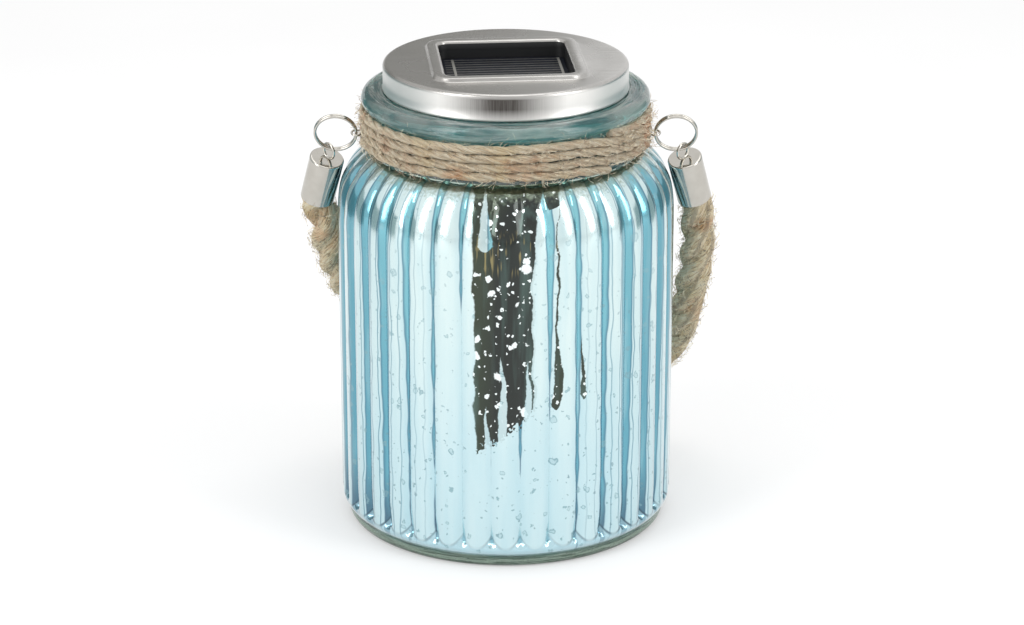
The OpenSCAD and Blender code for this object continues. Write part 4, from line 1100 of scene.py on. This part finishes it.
for material, nodes in FINISHES:
    for node in nodes:
        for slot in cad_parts[node].material_slots:
            slot.material = material
print("finished", sum(len(nodes) for material, nodes in FINISHES), "parts")

# %% [markdown]
# ## Light and floor
# Glass and metal show what stands round them, so the lantern stands on a pale floor in a
# white room. The room counts for what the camera, the mirrors and the glass see, and is
# dimmer for matt surfaces, which large soft lamps light instead.

# %% The floor
FLOOR_WIDE = 6
floor_corners = [(x * FLOOR_WIDE / 2, y * FLOOR_WIDE / 2, 0)
                 for x, y in ((-1, -1), (1, -1), (1, 1), (-1, 1))]
floor_mesh = bpy.data.meshes.new("floor")
floor_mesh.from_pydata(floor_corners, [], [(0, 1, 2, 3)])


def seen_rays(tree):
    """1 for rays from the camera, or by way of metal or glass. 0 for light on the object."""
    paths = add(tree, "ShaderNodeLightPath").outputs
    seen = paths["Is Camera Ray"]
    for way in ("Is Glossy Ray", "Is Transmission Ray"):
        seen = add(tree, "ShaderNodeMath", (seen, paths[way]), operation="MAXIMUM")
    return seen


def build_pale_floor(tree):
    # smooth paper, with clouds 17 cm wide that the eye hardly sees
    spots = add(tree, "ShaderNodeTexCoord").outputs["Object"]
    clouds = add(tree, "ShaderNodeTexNoise", {"Vector": spots, "Scale": 1 / (167 * MM)})
    tone = shades(tree, "#d4d4d4", ((clouds, 0.0, 1.0, 1.0, "#cecece"),))
    paper = add(tree, "ShaderNodeBsdfDiffuse", (tone,))
    # the paper's own white lifts the shadow, which stays as a soft grey
    lift = add(tree, "ShaderNodeMath", (seen_rays(tree), 0.33), operation="MULTIPLY")
    white = add(tree, "ShaderNodeEmission", {"Color": "#ffffff", "Strength": lift})
    return add(tree, "ShaderNodeAddShader", (paper, white))


floor_mesh.materials.append(finish_material("pale_floor", build_pale_floor))
shown("floor", floor_mesh)
print("floor", FLOOR_WIDE, "m wide")

# %% Room and lamps
world = bpy.data.worlds.new("white_room")
world.use_nodes = True
room = world.node_tree
room.nodes.clear()
level = add(room, "ShaderNodeMapRange", (seen_rays(room), 0.0, 1.0, 0.75, 1.0))
white = add(room, "ShaderNodeBackground", {"Color": "#ffffff", "Strength": level})
add(room, "ShaderNodeOutputWorld", {"Surface": white})
bpy.context.scene.world = world
bpy.context.scene.view_settings.view_transform = "Standard"
MID_LANTERN = Vector((0, 0, 0.08))


def lamp(name, at, wide, tall, power):
    """A soft lamp of so many watts that faces the lantern."""
    data = bpy.data.lights.new(name, "AREA")
    data.shape, data.size, data.size_y, data.energy = "RECTANGLE", wide, tall, power
    made = shown(name, data)
    made.location = at
    made.rotation_euler = (MID_LANTERN - Vector(at)).to_track_quat("-Z", "Y").to_euler()


lamp("key", (-0.9, -0.75, 0.75), 0.5, 1.3, 7)
lamp("fill", (0.95, -0.55, 0.7), 0.4, 1.2, 5)
lamp("top", (0.1, 0.2, 1.4), 0.9, 0.9, 4)

# %% Studio cards
def card(name, middle, wide, tall, shade):
    """A grey upright card that only mirrors and glass see. It faces the lantern."""
    mesh = bpy.data.meshes.new(name)
    away = Vector(middle)
    across = Vector((-away.y, away.x, 0)).normalized() * wide / 2
    up = Vector((0, 0, tall / 2))
    mesh.from_pydata([away - across - up, away + across - up, away + across + up, away - across + up],
                     [], [(0, 1, 2, 3)])
    mesh.materials.append(finish_material(
        name + "_paper", lambda tree: add(tree, "ShaderNodeEmission", {"Color": shade})))
    made = shown(name, mesh)
    made.visible_camera = made.visible_diffuse = made.visible_shadow = False


# one at each side behind the lantern, and a grey one that the lid mirrors
card("card_left", (-0.55, 0.2, 0.12), 0.85, 0.26, "#8fa4a6")
card("card_right", (0.55, 0.25, 0.12), 0.6, 0.26, "#8fa4a6")
card("card_back", (-0.4, 0.8, 0.48), 1.0, 0.4, "#a9a9a6")
